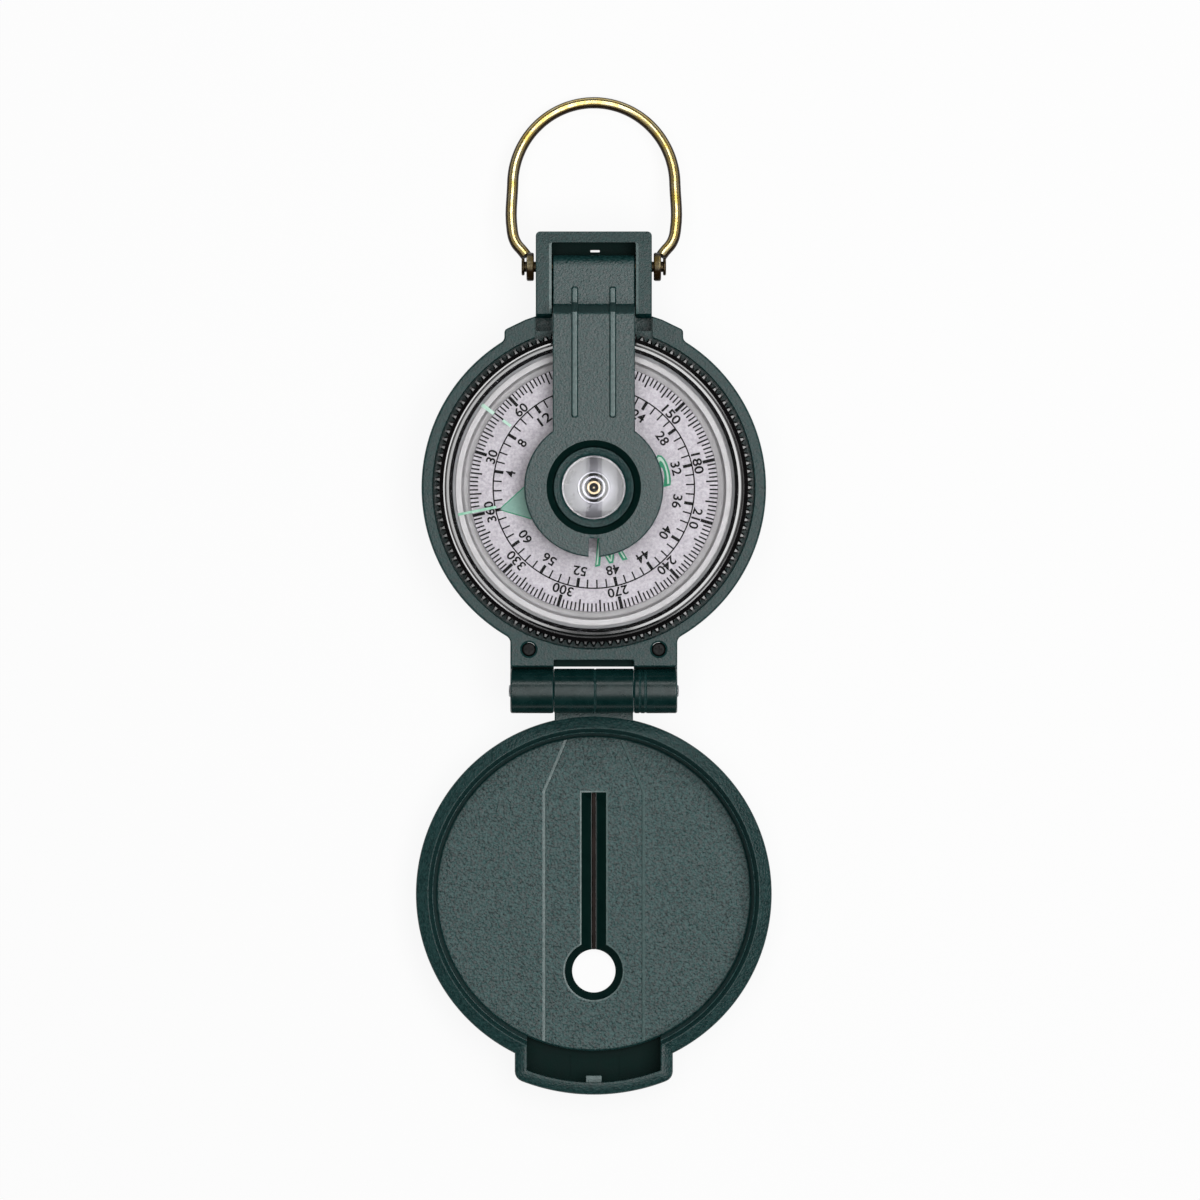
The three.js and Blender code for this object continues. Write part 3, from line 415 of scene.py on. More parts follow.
case_low, case_high = box_of("case_shell")
flange_radius = case_high.x
flange_top = case_high.z
bracket_end = case_high.y
tab_end = case_low.y
flange_bore = flange_radius - 1.85
case_bore = flange_radius - 3.1
wall_radius = flange_radius - 0.9
flange_bottom = flange_top - 2.1
bezel_ledge = flange_top - 1.4
snap_groove = (flange_top - 3.15, flange_top - 2.05)
groove_radius = case_bore + 1.15
base_rebate = case_bore + 0.75
joints = {joint["name"]: joint for joint in frame["joints"]}
pivot = Vector(joints["eyepiece_hinge"]["pos_m"]) / MM
hinge = Vector(joints["cover_hinge"]["pos_m"]) / MM
hinge_half = box_of("hinge_block")[1].x
BASE_SEAT = 1.9
TAB_FILLET = 1.2
SHOULDER_HALF = 14.4
SHOULDER_RADIUS = flange_radius + 1.45
SHOULDER_FILLET = 1.0
ARM_HALF = 6.6
WINDOW_HALF = ARM_HALF + 0.2
STRUT_OUT = WINDOW_HALF + 2.55
WINDOW_END = bracket_end - 1.75
BRACKET_BOTTOM = flange_top - 6.0
BRACKET_BORE = 1.0
BRACKET_FLOOR = 0.7
CHANNEL_FLOOR = flange_top - 1.2
CHANNEL_END = flange_bore + 1.4  # foot of the struts' sloped ends
STRUT_HEAD = CHANNEL_END + 0.7
POCKET_DEPTH = 4.0  # beside the arm, where the struts end
KNUCKLE_HALF = 6.43
KNUCKLE_RADIUS = 3.6
NOTCH_HALF = KNUCKLE_HALF + 0.02
NOTCH_END = tab_end + 1.1
SCREW_X = hinge_half - 3.0
SCREW_Y = tab_end + 2.8
SCREW_HOLE = 1.14
SCREW_CHAMFER = 0.28
SOFT_EDGE = 0.3
OVERCUT = 1.0


def grown(outline, distance):
    """An outline moved outwards by a distance, or inwards where that is negative."""
    area = sum(a.x * b.y - b.x * a.y for a, b in zip(outline, [*outline[1:], outline[0]]))
    way = distance * math.copysign(1, area)
    moved = []
    for index, point in enumerate(outline):
        before = (point - outline[index - 1]).normalized()
        after = (outline[(index + 1) % len(outline)] - point).normalized()
        first = Vector((before.y, -before.x))
        second = Vector((after.y, -after.x))
        moved.append(point + (first + second) * (way / (1 + first.dot(second))))
    return moved


def loft(name, levels, **placing):
    """A closed skin over (outline, height) levels whose outlines have equal counts of points."""
    count = len(levels[0][0])
    points = [(*point, height) for outline, height in levels for point in outline]
    last = len(points) - count
    faces = [list(range(count)), list(range(last, last + count))]
    for start in range(0, last, count):
        for side in range(count):
            after = (side + 1) % count
            faces.append([start + side, start + after, start + count + after, start + count + side])
    return mesh_object(name, points, faces, **placing)


def slab(name, corners, bottom, top, edge=0.0, **placing):
    """An outline raised to a plate whose upper and lower edges are rounded by the edge radius."""
    outline = rounded(corners)
    if not edge:
        return loft(name, [(outline, bottom), (outline, top)], **placing)
    arc = [math.pi / 2 * step / FILLET_STEPS for step in range(FILLET_STEPS + 1)]
    rise = [(grown(outline, edge * (math.sin(a) - 1)), edge * (1 - math.cos(a))) for a in arc]
    levels = [(shape, bottom + height) for shape, height in rise]
    levels += [(shape, top - height) for shape, height in reversed(rise)]
    return loft(name, levels, **placing)


def span(middle, half):
    """The two ends of a length, half to each side of its middle."""
    return middle - half, middle + half


def beside(side, near, far):
    """The two ends of a length from near to far out, on the left (-1) or the right (1)."""
    return sorted((side * near, side * far))


def oblong(x, y, radius=None):
    """The corners of a rectangle, each with the same radius."""
    corner = [] if radius is None else [radius]
    return [(x[0], y[0], *corner), (x[1], y[0], *corner), (x[1], y[1], *corner), (x[0], y[1], *corner)]


def bar(name, x, y, z, radius=None, edge=0.0, **placing):
    """A straight-sided block between its ends on each axis, with rounded corners and edges."""
    return slab(name, oblong(x, y, radius), *z, edge, **placing)


def flared_cut(name, corners, bottom, top, flare, steep=0.5, **placing):
    """A cutter for an opening whose upper edge is eased by the flare, at the given slope."""
    outline = rounded(corners)
    wide = grown(outline, flare)
    levels = [(outline, bottom), (outline, top - flare * steep), (wide, top), (wide, top + OVERCUT)]
    return loft(name, levels, **placing)


def rod(name, radius, ends, axis, edge=0.0, sides=64, grooves=()):
    """A bar along X on an axis, with rounded ends and, at the given places, fine lines round it."""
    rim = [edge] if edge else []
    lines = []
    for place in grooves:
        lines += [(radius, place - 0.2), (radius - 0.1, place - 0.05)]
        lines += [(radius - 0.1, place + 0.05), (radius, place + 0.2)]
    corners = [(0, ends[0]), (radius, ends[0], *rim), *lines, (radius, ends[1], *rim), (0, ends[1])]
    return turned(name, corners, sides, along="x", centre=(0, axis.y, axis.z))


def drop(tool):
    """Removes a piece that only served as a tool."""
    mesh = tool.data
    bpy.data.objects.remove(tool)
    bpy.data.meshes.remove(mesh)


def carve(body, add=(), cut=()):
    """Joins pieces to a body, then cuts others out of it, and removes the tools."""
    for operation, tools in (("UNION", add), ("DIFFERENCE", cut)):
        for tool in tools:
            step = body.modifiers.new(operation, "BOOLEAN")
            step.operation = operation
            step.solver = "EXACT"
            step.object = tool
    work_in(body)
    for tool in (*add, *cut):
        drop(tool)
    return body


def ear(half, end, rim, fillet, corner):
    """A straight-sided ear from a round rim out to the line y = end, with hollow fillets."""
    way = math.copysign(1, end)
    meet = math.sqrt((rim + fillet) ** 2 - (half + fillet) ** 2)
    ease = []
    for step in range(FILLET_STEPS + 1):
        angle = math.atan2(meet, half + fillet) * step / FILLET_STEPS
        ease.append((half + fillet - fillet * math.cos(angle), meet - fillet * math.sin(angle)))
    right = [(half, end, corner), *((x, way * y) for x, y in ease), (half - fillet, way * meet / 2)]
    return [*right, *((-x, *rest) for x, *rest in reversed(right))]


def round_ear(half, reach, rim, fillet, corner):
    """The same ear with a round outer end at the given reach."""
    sides = ear(half, math.sqrt(reach ** 2 - half ** 2), rim, fillet, corner)
    start = math.asin(half / reach)
    middle = []
    for step in range(1, 2 * FILLET_STEPS):
        angle = start - start * step / FILLET_STEPS
        middle.append((-reach * math.sin(angle), reach * math.cos(angle)))
    return [*sides, *middle]


case_wall = turned("case_moulding", [
    (case_bore, BASE_SEAT),
    (base_rebate, BASE_SEAT),
    (base_rebate, 0, 0.15),
    (wall_radius, 0, 0.8),
    (wall_radius, flange_bottom, 0.3),
    (flange_radius, flange_bottom, 0.3),
    (flange_radius, flange_top, 0.4),
    (flange_bore, flange_top, 0.2),
    (flange_bore, bezel_ledge),
    (case_bore, bezel_ledge, 0.1),
    (case_bore, snap_groove[1]),
    (groove_radius, snap_groove[1]),
    (groove_radius, snap_groove[0]),
    (case_bore, snap_groove[0]),
])
tab = slab(
    "tab", ear(hinge_half, tab_end, flange_radius, TAB_FILLET, 0.4), flange_bottom, flange_top, SOFT_EDGE,
)
shoulders = slab(
    "shoulders", round_ear(SHOULDER_HALF, SHOULDER_RADIUS, flange_radius, SHOULDER_FILLET, 0.7),
    BRACKET_BOTTOM, flange_top, SOFT_EDGE,
)
bracket = bar(
    "bracket", span(0, STRUT_OUT), (0, bracket_end), (BRACKET_BOTTOM, flange_top), 0.7, SOFT_EDGE,
)
core = disc("core", flange_radius - 1.4, -OVERCUT, flange_top + OVERCUT)
fittings = carve(tab, add=[shoulders, bracket], cut=[core])
case_cuts = [
    flared_cut(
        "hinge_notch", oblong(span(0, NOTCH_HALF), (hinge.y, NOTCH_END), 0.2),
        BRACKET_BOTTOM, flange_top, 0.15,
    ),
    flared_cut(
        "window", oblong(span(0, WINDOW_HALF), (flange_radius - 0.2, WINDOW_END), 0.3),
        BRACKET_BOTTOM + BRACKET_FLOOR, flange_top, 0.4, 0.14,
    ),
    bar("moulding_slot", (-0.55, 0.95), (pivot.y + 2.4, pivot.y + 2.75),
        (BRACKET_BOTTOM - OVERCUT, flange_top), 0.1),
    slab("channel", [
        (0, CHANNEL_FLOOR), (CHANNEL_END, CHANNEL_FLOOR), (STRUT_HEAD, flange_top),
        (STRUT_HEAD + 0.5, flange_top + OVERCUT), (0, flange_top + OVERCUT),
    ], *span(0, STRUT_OUT + 0.15), along="x"),
    bar("channel_end", span(0, WINDOW_HALF), (0, WINDOW_END - 1), (CHANNEL_FLOOR, flange_top + OVERCUT)),
    slab("crossbar_slope", [
        (WINDOW_END - 0.3, flange_top), (bracket_end + 1, flange_top - 0.5),
        (bracket_end + 1, flange_top + OVERCUT), (WINDOW_END - 0.3, flange_top + OVERCUT),
    ], *span(0, STRUT_OUT + OVERCUT), along="x"),
    rod("eyepiece_bore", BRACKET_BORE, span(0, STRUT_OUT + OVERCUT), pivot),
]
for side in (-1, 1):
    case_cuts += [
        bar("pocket", beside(side, WINDOW_HALF + 0.15, STRUT_OUT - 0.05), (flange_bore - 0.7, CHANNEL_END),
            (flange_top - POCKET_DEPTH, flange_top), 0.2),
        turned("screw_hole", [
            (0, flange_bottom - OVERCUT),
            (SCREW_HOLE, flange_bottom - OVERCUT),
            (SCREW_HOLE, flange_top - 0.25),
            (SCREW_HOLE + SCREW_CHAMFER, flange_top),
            (SCREW_HOLE + SCREW_CHAMFER, flange_top + OVERCUT),
            (0, flange_top + OVERCUT),
        ], 48, centre=(side * SCREW_X, SCREW_Y, 0)),
    ]
case = carve(case_wall, add=[fittings], cut=case_cuts)

# Painted shade: a darker, almost unreflecting copy of the green plastic, for floors and walls deep in
# recesses where shade falls.
green_painted_shade = finish(
    "green_painted_shade", (6, 29, 27), (9, 34, 31), (22, 44, 41), (0.45, 0.55),
    patch_size=2.0, scuff_amount=0.2, specular=0.05,
)
# Painted highlight: a lighter, glossier copy of the green plastic, for eased edges and small tops that
# catch the light.
green_painted_highlight = finish(
    "green_painted_highlight", (52, 88, 86), (30, 66, 64), (110, 136, 133), (0.3, 0.4),
    patch_size=0.8, specular=0.7,
)
# The window's floor takes the painted shade, and the struts' eased inner edges take the painted highlight.
for face in case.data.polygons:
    middle = face.center / MM
    in_window = middle.y > flange_radius and abs(middle.x) < WINDOW_HALF + 0.1
    if in_window and face.normal.z > 0.9 and middle.z < flange_top - 3:
        face.material_index = 1
    eased = middle.y > STRUT_HEAD and WINDOW_HALF < abs(middle.x) < WINDOW_HALF + 0.4
    if eased and 0.95 < face.normal.z < 0.995 and abs(face.normal.x) > 0.1:
        face.material_index = 2
smooth(case, green_satin, green_painted_shade, green_painted_highlight)
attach(case, "case")
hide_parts("case_shell")

# Hinge block, its screws and the hinge pin
# A green block with the case's two knuckles, held under the tab by two blackened screws with cross
# recesses. A steel pin runs through the barrel and stands a little proud at both ends.

BLOCK_END = -20.0  # under the case, where the wall cuts it off
BARREL_SIDES = 96
HINGE_PIN = 1.0
HINGE_BORE = HINGE_PIN + 0.05
SHANK_RADIUS = 0.6
HEAD_HEIGHT = 0.7
CROSS = (0.62, 0.14)  # half the length and half the width of a bar of the cross recess
MOULD_GROOVES = (7.45, 8.35)  # fine lines round the right knuckle

block = bar(
    "hinge_knuckles", span(0, hinge_half), (hinge.y, BLOCK_END),
    (hinge.z - KNUCKLE_RADIUS, flange_bottom - 0.15), 0.5, SOFT_EDGE,
)
carve(block, cut=[
    disc("case_clearance", wall_radius + 0.3, 0, flange_top),
    bar("knuckle_room", span(0, NOTCH_HALF), (hinge.y - 5, tab_end), (0, flange_top + 5)),
])
knuckles = []
for side, grooves in ((-1, ()), (1, MOULD_GROOVES)):
    ends = beside(side, NOTCH_HALF, hinge_half)
    knuckles.append(rod("knuckle", KNUCKLE_RADIUS, ends, hinge, 0.35, BARREL_SIDES, grooves))
carve(block, add=knuckles, cut=[rod("pin_room", HINGE_BORE, span(0, hinge_half + OVERCUT), hinge)])


def on_barrel(face):
    """Whether a face lies on the round of the hinge's barrel."""
    off_axis = (face.center / MM - hinge).yz.length
    return abs(off_axis - KNUCKLE_RADIUS) < 0.08 and abs(face.normal.x) < 0.5


# Painted shade: the barrel's green is darker than the rest of the plastic so that its rounded sides look
# shaded; its smoother, glossier face is its own.
green_shaded_barrel = finish(
    "green_shaded_barrel", (3, 34, 33), (10, 43, 42), (40, 66, 64), (0.22, 0.3),
    patch_size=2.0, grain_size=0.5, grain_depth=0.003, specular=0.4,
)
# The notch floor under the tab takes the painted shade, and the knuckles' round faces take the darker
# barrel green.
for face in block.data.polygons:
    middle = face.center / MM
    if abs(middle.x) < NOTCH_HALF and middle.y > tab_end - 0.1 and face.normal.z > 0.9:
        face.material_index = 1
    elif on_barrel(face):
        face.material_index = 2
smooth(block, green_satin, green_painted_shade, green_shaded_barrel)
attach(block, "case")
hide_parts("hinge_block")

blackened_steel = finish(
    "blackened_steel", (9, 10, 10), (15, 15, 15), (40, 41, 42), (0.45, 0.6),
    patch_size=0.8, scuff_spacing=0.8, grain_size=0.1, grain_depth=0.004, metallic=0.3, specular=0.3,
)
bright_steel = finish(
    "bright_steel", (176, 178, 180), (150, 153, 156), (212, 214, 216), (0.22, 0.36),
    patch_size=1.5, scuff_spacing=1.0, grain_size=0.08, grain_depth=0.002, metallic=1.0,
)
for side, node in ((-1, "hinge_screw_left"), (1, "hinge_screw_right")):
    low, high = box_of(node)
    seat = high.z - HEAD_HEIGHT
    head_radius = max(-low.x, high.x) - SCREW_X
    screw = turned(node + "_cross", [
        (0, low.z),
        (SHANK_RADIUS - 0.25, low.z),
        (SHANK_RADIUS, low.z + 0.8),
        (SHANK_RADIUS, seat),
        (head_radius, seat, 0.1),
        (head_radius, high.z, 0.3),
        (0, high.z),
    ], 48, centre=(side * SCREW_X, SCREW_Y, 0))
    carve(screw, cut=[
        bar("recess", span(side * SCREW_X, x), span(SCREW_Y, y), (high.z - 0.4, high.z + OVERCUT))
        for x, y in (CROSS, CROSS[::-1])
    ])
    smooth(screw, blackened_steel)
    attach(screw, "case")
    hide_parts(node)

hinge_pin = rod("hinge_pin_steel", HINGE_PIN, span(0, box_of("cover_hinge_pin")[1].x), hinge, 0.3)
smooth(hinge_pin, bright_steel)
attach(hinge_pin, "case")
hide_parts("cover_hinge_pin")

# Snap ring and click spring
# Two sprung steel pieces inside the case: the split ring that keeps the bezel down in its groove and
# the leaf that clicks over the bezel's teeth. Both are as the frame has them, in bright steel.


def dress(node, material):
    """Gives a CAD node that stays in place its finish."""
    kept = frame["nodes"][node]
    kept.data.materials.clear()
    kept.data.materials.append(material)


dress("bezel_snap_ring", bright_steel)
dress("bezel_click_spring", bright_steel)

# Bezel
# A gloss black turned-looking moulding with a rounded crest, a sloped outer face and 120 knurled
# teeth on its edge. It turns in the case and carries the crystal and the capsule with it.

bezel_low, bezel_high = box_of("bezel_ring")
bezel_top = bezel_high.z
knurl_radius = bezel_high.x
TEETH = 120
TOOTH_ROOT = knurl_radius - 0.75
SKIRT_RADIUS = case_bore - 0.3
BEZEL_BORE = SKIRT_RADIUS - 1.3
BEZEL_SEAT = bezel_ledge + 0.3
LIP_RADIUS = BEZEL_BORE - 0.35
CREST_RADIUS = knurl_radius - 2.0
TOOTH_TOP = bezel_top - 0.82
TOOTH_FALL = 0.06  # across a tooth's crown

gloss_black = finish(
    "gloss_black", (9, 8, 9), (13, 12, 13), (46, 44, 44), (0.12, 0.2),
    patch_size=3.0, scuff_spacing=2.0, scuff_amount=0.15, grain_size=0.4, grain_depth=0.0005,
    specular=1.0,
)
polished_black = finish(
    "polished_black", (13, 12, 13), (18, 17, 18), (60, 58, 58), (0.12, 0.2),
    patch_size=3.0, scuff_spacing=2.0, scuff_amount=0.2, grain_size=0.4, grain_depth=0.0005,
    coat=1.0, coat_ior=1.8, specular=0.8,
)


def shape_tree(name, kinds):
    """An empty geometry tree with these named inputs, and what it is given."""
    tree = bpy.data.node_groups.new(name, "GeometryNodeTree")
    for label, kind in {"Geometry": "Geometry", **kinds}.items():
        tree.interface.new_socket(label, in_out="INPUT", socket_type="NodeSocket" + kind)
    tree.interface.new_socket("Geometry", in_out="OUTPUT", socket_type="NodeSocketGeometry")
    return tree, put(tree, "NodeGroupInput").outputs


def end_tree(tree, shape, material):
    """Ends a tree: its instances are made real and take their finish."""
    real = put(tree, "GeometryNodeRealizeInstances", {0: shape})
    coloured = put(tree, "GeometryNodeSetMaterial", {"Geometry": real.outputs[0], "Material": material})
    put(tree, "NodeGroupOutput", {0: coloured.outputs[0]})
    return tree


def marks_tree():
    """Copies of one mark at equal steps round the Z axis, with every so many left out."""
    tree, given = shape_tree("marks_round_a_ring", {
        "Mark": "Object", "Count": "Int", "First": "Float", "Leave Out Every": "Int", "Finish": "Material",
    })
    index = put(tree, "GeometryNodeInputIndex").outputs[0]
    step = reckon(tree, "DIVIDE", 2 * math.pi, given["Count"])
    angle = reckon(tree, "MULTIPLY_ADD", index, step, given["First"])
    turn = put(tree, "ShaderNodeCombineXYZ", {"Z": angle})
    left_over = reckon(tree, "MODULO", index, given["Leave Out Every"])
    between = reckon(tree, "GREATER_THAN", left_over, 0.5)
    whole = reckon(tree, "LESS_THAN", given["Leave Out Every"], 0.5)
    places = put(tree, "GeometryNodePoints", {"Count": given["Count"]})
    mark = put(tree, "GeometryNodeObjectInfo", {"Object": given["Mark"]})
    copies = put(tree, "GeometryNodeInstanceOnPoints", {
        "Points": places.outputs[0],
        "Selection": reckon(tree, "MAXIMUM", between, whole),
        "Instance": mark.outputs["Geometry"],
        "Rotation": turn.outputs[0],
    })
    return end_tree(tree, copies.outputs[0], given["Finish"])


marks_round_a_ring = marks_tree()


def add_tree(piece, tree, values):
    """Puts a geometry tree on a piece, with its named inputs set."""
    step = piece.modifiers.new(tree.name, "NODES")
    step.node_group = tree
    for item in tree.interface.items_tree:
        if item.in_out == "INPUT" and item.name in values:
            step[item.identifier] = values[item.name]


def ring_of(name, mark, count, material, first=0.0, leave_out=0):
    """One mesh of like marks round the dial axis. With nothing to leave out, none is."""
    ring = placed(name, bpy.data.meshes.new(name))
    add_tree(ring, marks_round_a_ring, {
        "Mark": mark, "Count": count, "First": first, "Leave Out Every": leave_out, "Finish": material,
    })
    work_in(ring)
    drop(mark)
    return ring


def tooth_section(inner, inner_half, outer, outer_half):
    """A level of a tooth, by its half widths at its inner and its outer side."""
    corners = ((inner, -inner_half), (inner, inner_half), (outer, outer_half), (outer, -outer_half))
    return [Vector(corner) for corner in corners]


bezel = turned("bezel_moulding", [
    (BEZEL_BORE, bezel_low.z, 0.1),
    (SKIRT_RADIUS, bezel_low.z, 0.2),
    (SKIRT_RADIUS, snap_groove[0]),
    (SKIRT_RADIUS - 0.5, snap_groove[0]),
    (SKIRT_RADIUS - 0.5, snap_groove[1]),
    (SKIRT_RADIUS, snap_groove[1]),
    (SKIRT_RADIUS, BEZEL_SEAT),
    (TOOTH_ROOT, BEZEL_SEAT, 0.1),
    (TOOTH_ROOT, TOOTH_TOP, 0.05),
    (CREST_RADIUS + 0.62, bezel_top - 0.45),
    (CREST_RADIUS + 0.4, bezel_top - 0.5),
    (CREST_RADIUS + 0.08, bezel_top - 0.035),
    (CREST_RADIUS - 0.3, bezel_top),
    (LIP_RADIUS + 0.05, bezel_top - 0.62, 0.05),
    (LIP_RADIUS, bezel_top - 0.7),
    (BEZEL_BORE, bezel_top - 0.7),
], 360)
tooth_half = math.pi * TOOTH_ROOT / TEETH * 0.95
tooth_foot = tooth_section(TOOTH_ROOT - 0.1, tooth_half, knurl_radius, 0.22)
tooth_crown = tooth_section(TOOTH_ROOT - 0.05, 0.24, TOOTH_ROOT + 0.4, 0.13)
tooth = loft("tooth", [
    (tooth_foot, BEZEL_SEAT), (tooth_foot, TOOTH_TOP - 0.5), (tooth_crown, TOOTH_TOP),
])
for corner in tooth.data.vertices:
    if corner.co.z > (TOOTH_TOP - 0.01) * MM and corner.co.x > TOOTH_ROOT * MM:
        corner.co.z -= TOOTH_FALL * MM
knurl = ring_of("bezel_knurl", tooth, TEETH, gloss_black)
for face in bezel.data.polygons:
    reach = (face.center / MM).xy.length
    if face.normal.z > 0.95 and CREST_RADIUS - 0.3 < reach < CREST_RADIUS + 0.75:
        face.material_index = 1
smooth(bezel, gloss_black, polished_black, angle=8)
for part in (bezel, knurl):
    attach(part, "bezel")
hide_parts("bezel_ring")

# Capsule
# A white plastic cup that holds the liquid, bonded into the bezel. Its rim shows as a pale ring round
# the card. The seal, the filling plug and the steel needle stand in it out of sight.

cup_low, cup_high = box_of("capsule_cup")
cup_radius = cup_high.x
CUP_BORE = cup_radius - 1.5
CUP_FLOOR = cup_low.z + 1.2
SEAL_SEAT = cup_high.z - 0.775
card_low, card_high = box_of("dial_card")
CUP_LEDGE = card_low.z - 1.6  # the step that runs in under the card's edge
PLUG_X = 12.0
PLUG_RADIUS = 1.3
BOSS_RADIUS = 1.8
BOSS_TOP = CUP_FLOOR + 1.8
NEEDLE_BORE = 0.85
capsule_white = finish(
    "capsule_white", (209, 207, 209), (199, 197, 199), (192, 190, 193), (0.3, 0.4),
    patch_size=2.5, grain_depth=0.004,
)
cup = turned("capsule_moulding", [
    (0, cup_low.z),
    (cup_radius, cup_low.z, 0.5),
    (cup_radius, SEAL_SEAT),
    (cup_radius - 0.65, SEAL_SEAT),
    (cup_radius - 0.65, cup_high.z, 0.05),
    (CUP_BORE - 0.1, cup_high.z, 0.12),
    (CUP_BORE - 0.35, CUP_LEDGE, 0.3),
    (card_high.x - 0.6, CUP_LEDGE, 0.1),
    (card_high.x - 0.6, CUP_FLOOR, 0.8),
    (BOSS_RADIUS, CUP_FLOOR, 0.2),
    (BOSS_RADIUS, BOSS_TOP, 0.2),
    (NEEDLE_BORE, BOSS_TOP),
    (NEEDLE_BORE, CUP_FLOOR),
    (0, CUP_FLOOR),
])
plug_hole = disc(
    "plug_hole", PLUG_RADIUS, cup_low.z - OVERCUT, CUP_FLOOR + OVERCUT, sides=32, centre=(PLUG_X, 0, 0),
)
carve(cup, cut=[plug_hole])
smooth(cup, capsule_white)
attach(cup, "bezel")
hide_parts("capsule_cup")

seal_rubber = finish(
    "seal_rubber", (176, 177, 180), (166, 167, 170), (150, 150, 153), (0.6, 0.75), grain_size=0.2,
)
dress("crystal_seal", seal_rubber)
dress("capsule_fill_plug", capsule_white)
dress("pivot_needle", bright_steel)

# Card
# A thin aluminium disc in satin silver that floats level on the needle, with a ring magnet under it.
# Round its edge it is printed with degrees, then mils, a north arrow and the other three letters.

card_radius = card_high.x
card_top = card_high.z
NORTH = 256.9  # where the card rests, in degrees clockwise from +Y
INK = 0.03  # thickness of the print
CARD_BORE = 2.15
card_silver = finish(
    "card_silver", (174, 170, 176), (153, 149, 155), (190, 187, 192), (0.5, 0.6),
    patch_size=0.4, scuff_amount=0.1, grain_size=0.12, grain_depth=0.004, metallic=0.4,
)
card = turned("card_disc", [
    (CARD_BORE, card_low.z),
    (card_radius, card_low.z, 0.1),
    (card_radius, card_high.z, 0.1),
    (CARD_BORE, card_high.z),
])
smooth(card, card_silver)
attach(card, "card")
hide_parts("dial_card")
magnet_grey = finish(
    "magnet_grey", (92, 94, 98), (80, 82, 86), (120, 122, 126), (0.4, 0.55), metallic=0.9,
)
dress("card_magnet", magnet_grey)

# Black print for the card; the same black is painted into the hub's groove and on the jewel as painted
# shade.
black_ink_and_shade = finish(
    "black_ink_and_shade", (20, 19, 20), (27, 26, 27), (40, 39, 40), (0.5, 0.6), patch_size=1.5,
    specular=0.06,
)
bearing_north = math.radians(90 - NORTH)


def tick(start, end, width):
    """One printed stroke on the +X axis."""
    return bar("tick", (start, end), span(0, width / 2), (card_top, card_top + INK))


TICKS = (
    # name, count, inner radius, outer radius, width, leave out every
    ("card_two_degree_ticks", 180, card_radius - 1.4, card_radius - 0.05, 0.25, 5),
    ("card_ten_degree_ticks", 36, card_radius - 1.95, card_radius - 0.05, 0.27, 3),
    ("card_thirty_degree_ticks", 12, card_radius - 2.05, card_radius - 0.05, 0.52, 0),
    ("card_mil_ticks", 64, 14.85, 16.2, 0.24, 4),
    ("card_bold_mil_ticks", 16, 14.75, 16.2, 0.5, 0),
)
prints = []
for name, count, start, end, width, leave_out in TICKS:
    prints.append(ring_of(name, tick(start, end, width), count, black_ink_and_shade, bearing_north, leave_out))
mil_circle = turned("card_mil_circle", [
    (16.1, card_top), (16.32, card_top), (16.32, card_top + INK), (16.1, card_top + INK),
])
smooth(mil_circle, black_ink_and_shade)
prints.append(mil_circle)


def text_mesh(text, height, width, thicken=0.0):
    """Flat figures of a given height and width, centred, as a thin closed mesh in metres."""
    letters = bpy.data.curves.new("letters", "FONT")
    letters.body = text
    letters.align_x = "CENTER"
    letters.align_y = "CENTER"
    letters.resolution_u = 4
    letters.offset = thicken
    letters.extrude = 0.1
    holder = placed("letters", letters)
    mesh = plain_mesh(holder)
    bpy.data.objects.remove(holder)
    bpy.data.curves.remove(letters)
    low = [min(corner.co[axis] for corner in mesh.vertices) for axis in range(3)]
    high = [max(corner.co[axis] for corner in mesh.vertices) for axis in range(3)]
    middle = Matrix.Translation((-(low[0] + high[0]) / 2, -(low[1] + high[1]) / 2, -low[2]))
    sizes = [size * MM / (b - a) for size, a, b in zip((width, height, INK), low, high)]
    mesh.transform(Matrix.Diagonal((*sizes, 1)) @ middle)
    return mesh


def printed(name, figures, material, lift=0.0):
    """Figures round the card, each as (text, bearing, mid radius, height, width, thicken)."""
    sheet = bmesh.new()
    for text, bearing, radius, height, width, thicken in figures:
        mesh = text_mesh(text, height, width, thicken)
        angle = bearing_north - math.radians(bearing)
        place = Matrix.Translation((
            radius * MM * math.cos(angle), radius * MM * math.sin(angle), (card_top + lift) * MM,
        ))
        mesh.transform(place @ Matrix.Rotation(angle - math.pi / 2, 4, "Z"))
        sheet.from_mesh(mesh)
        bpy.data.meshes.remove(mesh)
    bmesh.ops.remove_doubles(sheet, verts=sheet.verts, dist=SAME_PLACE * MM)
    made = bpy.data.meshes.new(name)
    sheet.to_mesh(made)
    sheet.free()
    made.materials.append(material)
    return placed(name, made)


FIGURE_HEIGHT = 1.55
FIGURE_WIDTH = 1.0
FIGURE_STEP = 1.18  # from one figure of a number to the next
DEGREE_FIGURES = 17.15  # radius of their middles
MIL_FIGURES = 13.6


def number(value, bearing, radius):
    """A printed number, set at a bearing and a radius on the card."""
    text = str(value)
    width = FIGURE_WIDTH + FIGURE_STEP * (len(text) - 1)
    return (text, bearing, radius, FIGURE_HEIGHT, width, 0.02)


degrees = [number(d, d, DEGREE_FIGURES) for d in range(30, 361, 30)]
mils = [number(m, m * 360 / 64, MIL_FIGURES) for m in range(4, 61, 4)]
prints.append(printed("card_degree_figures", degrees, black_ink_and_shade))
prints.append(printed("card_mil_figures", mils, black_ink_and_shade))

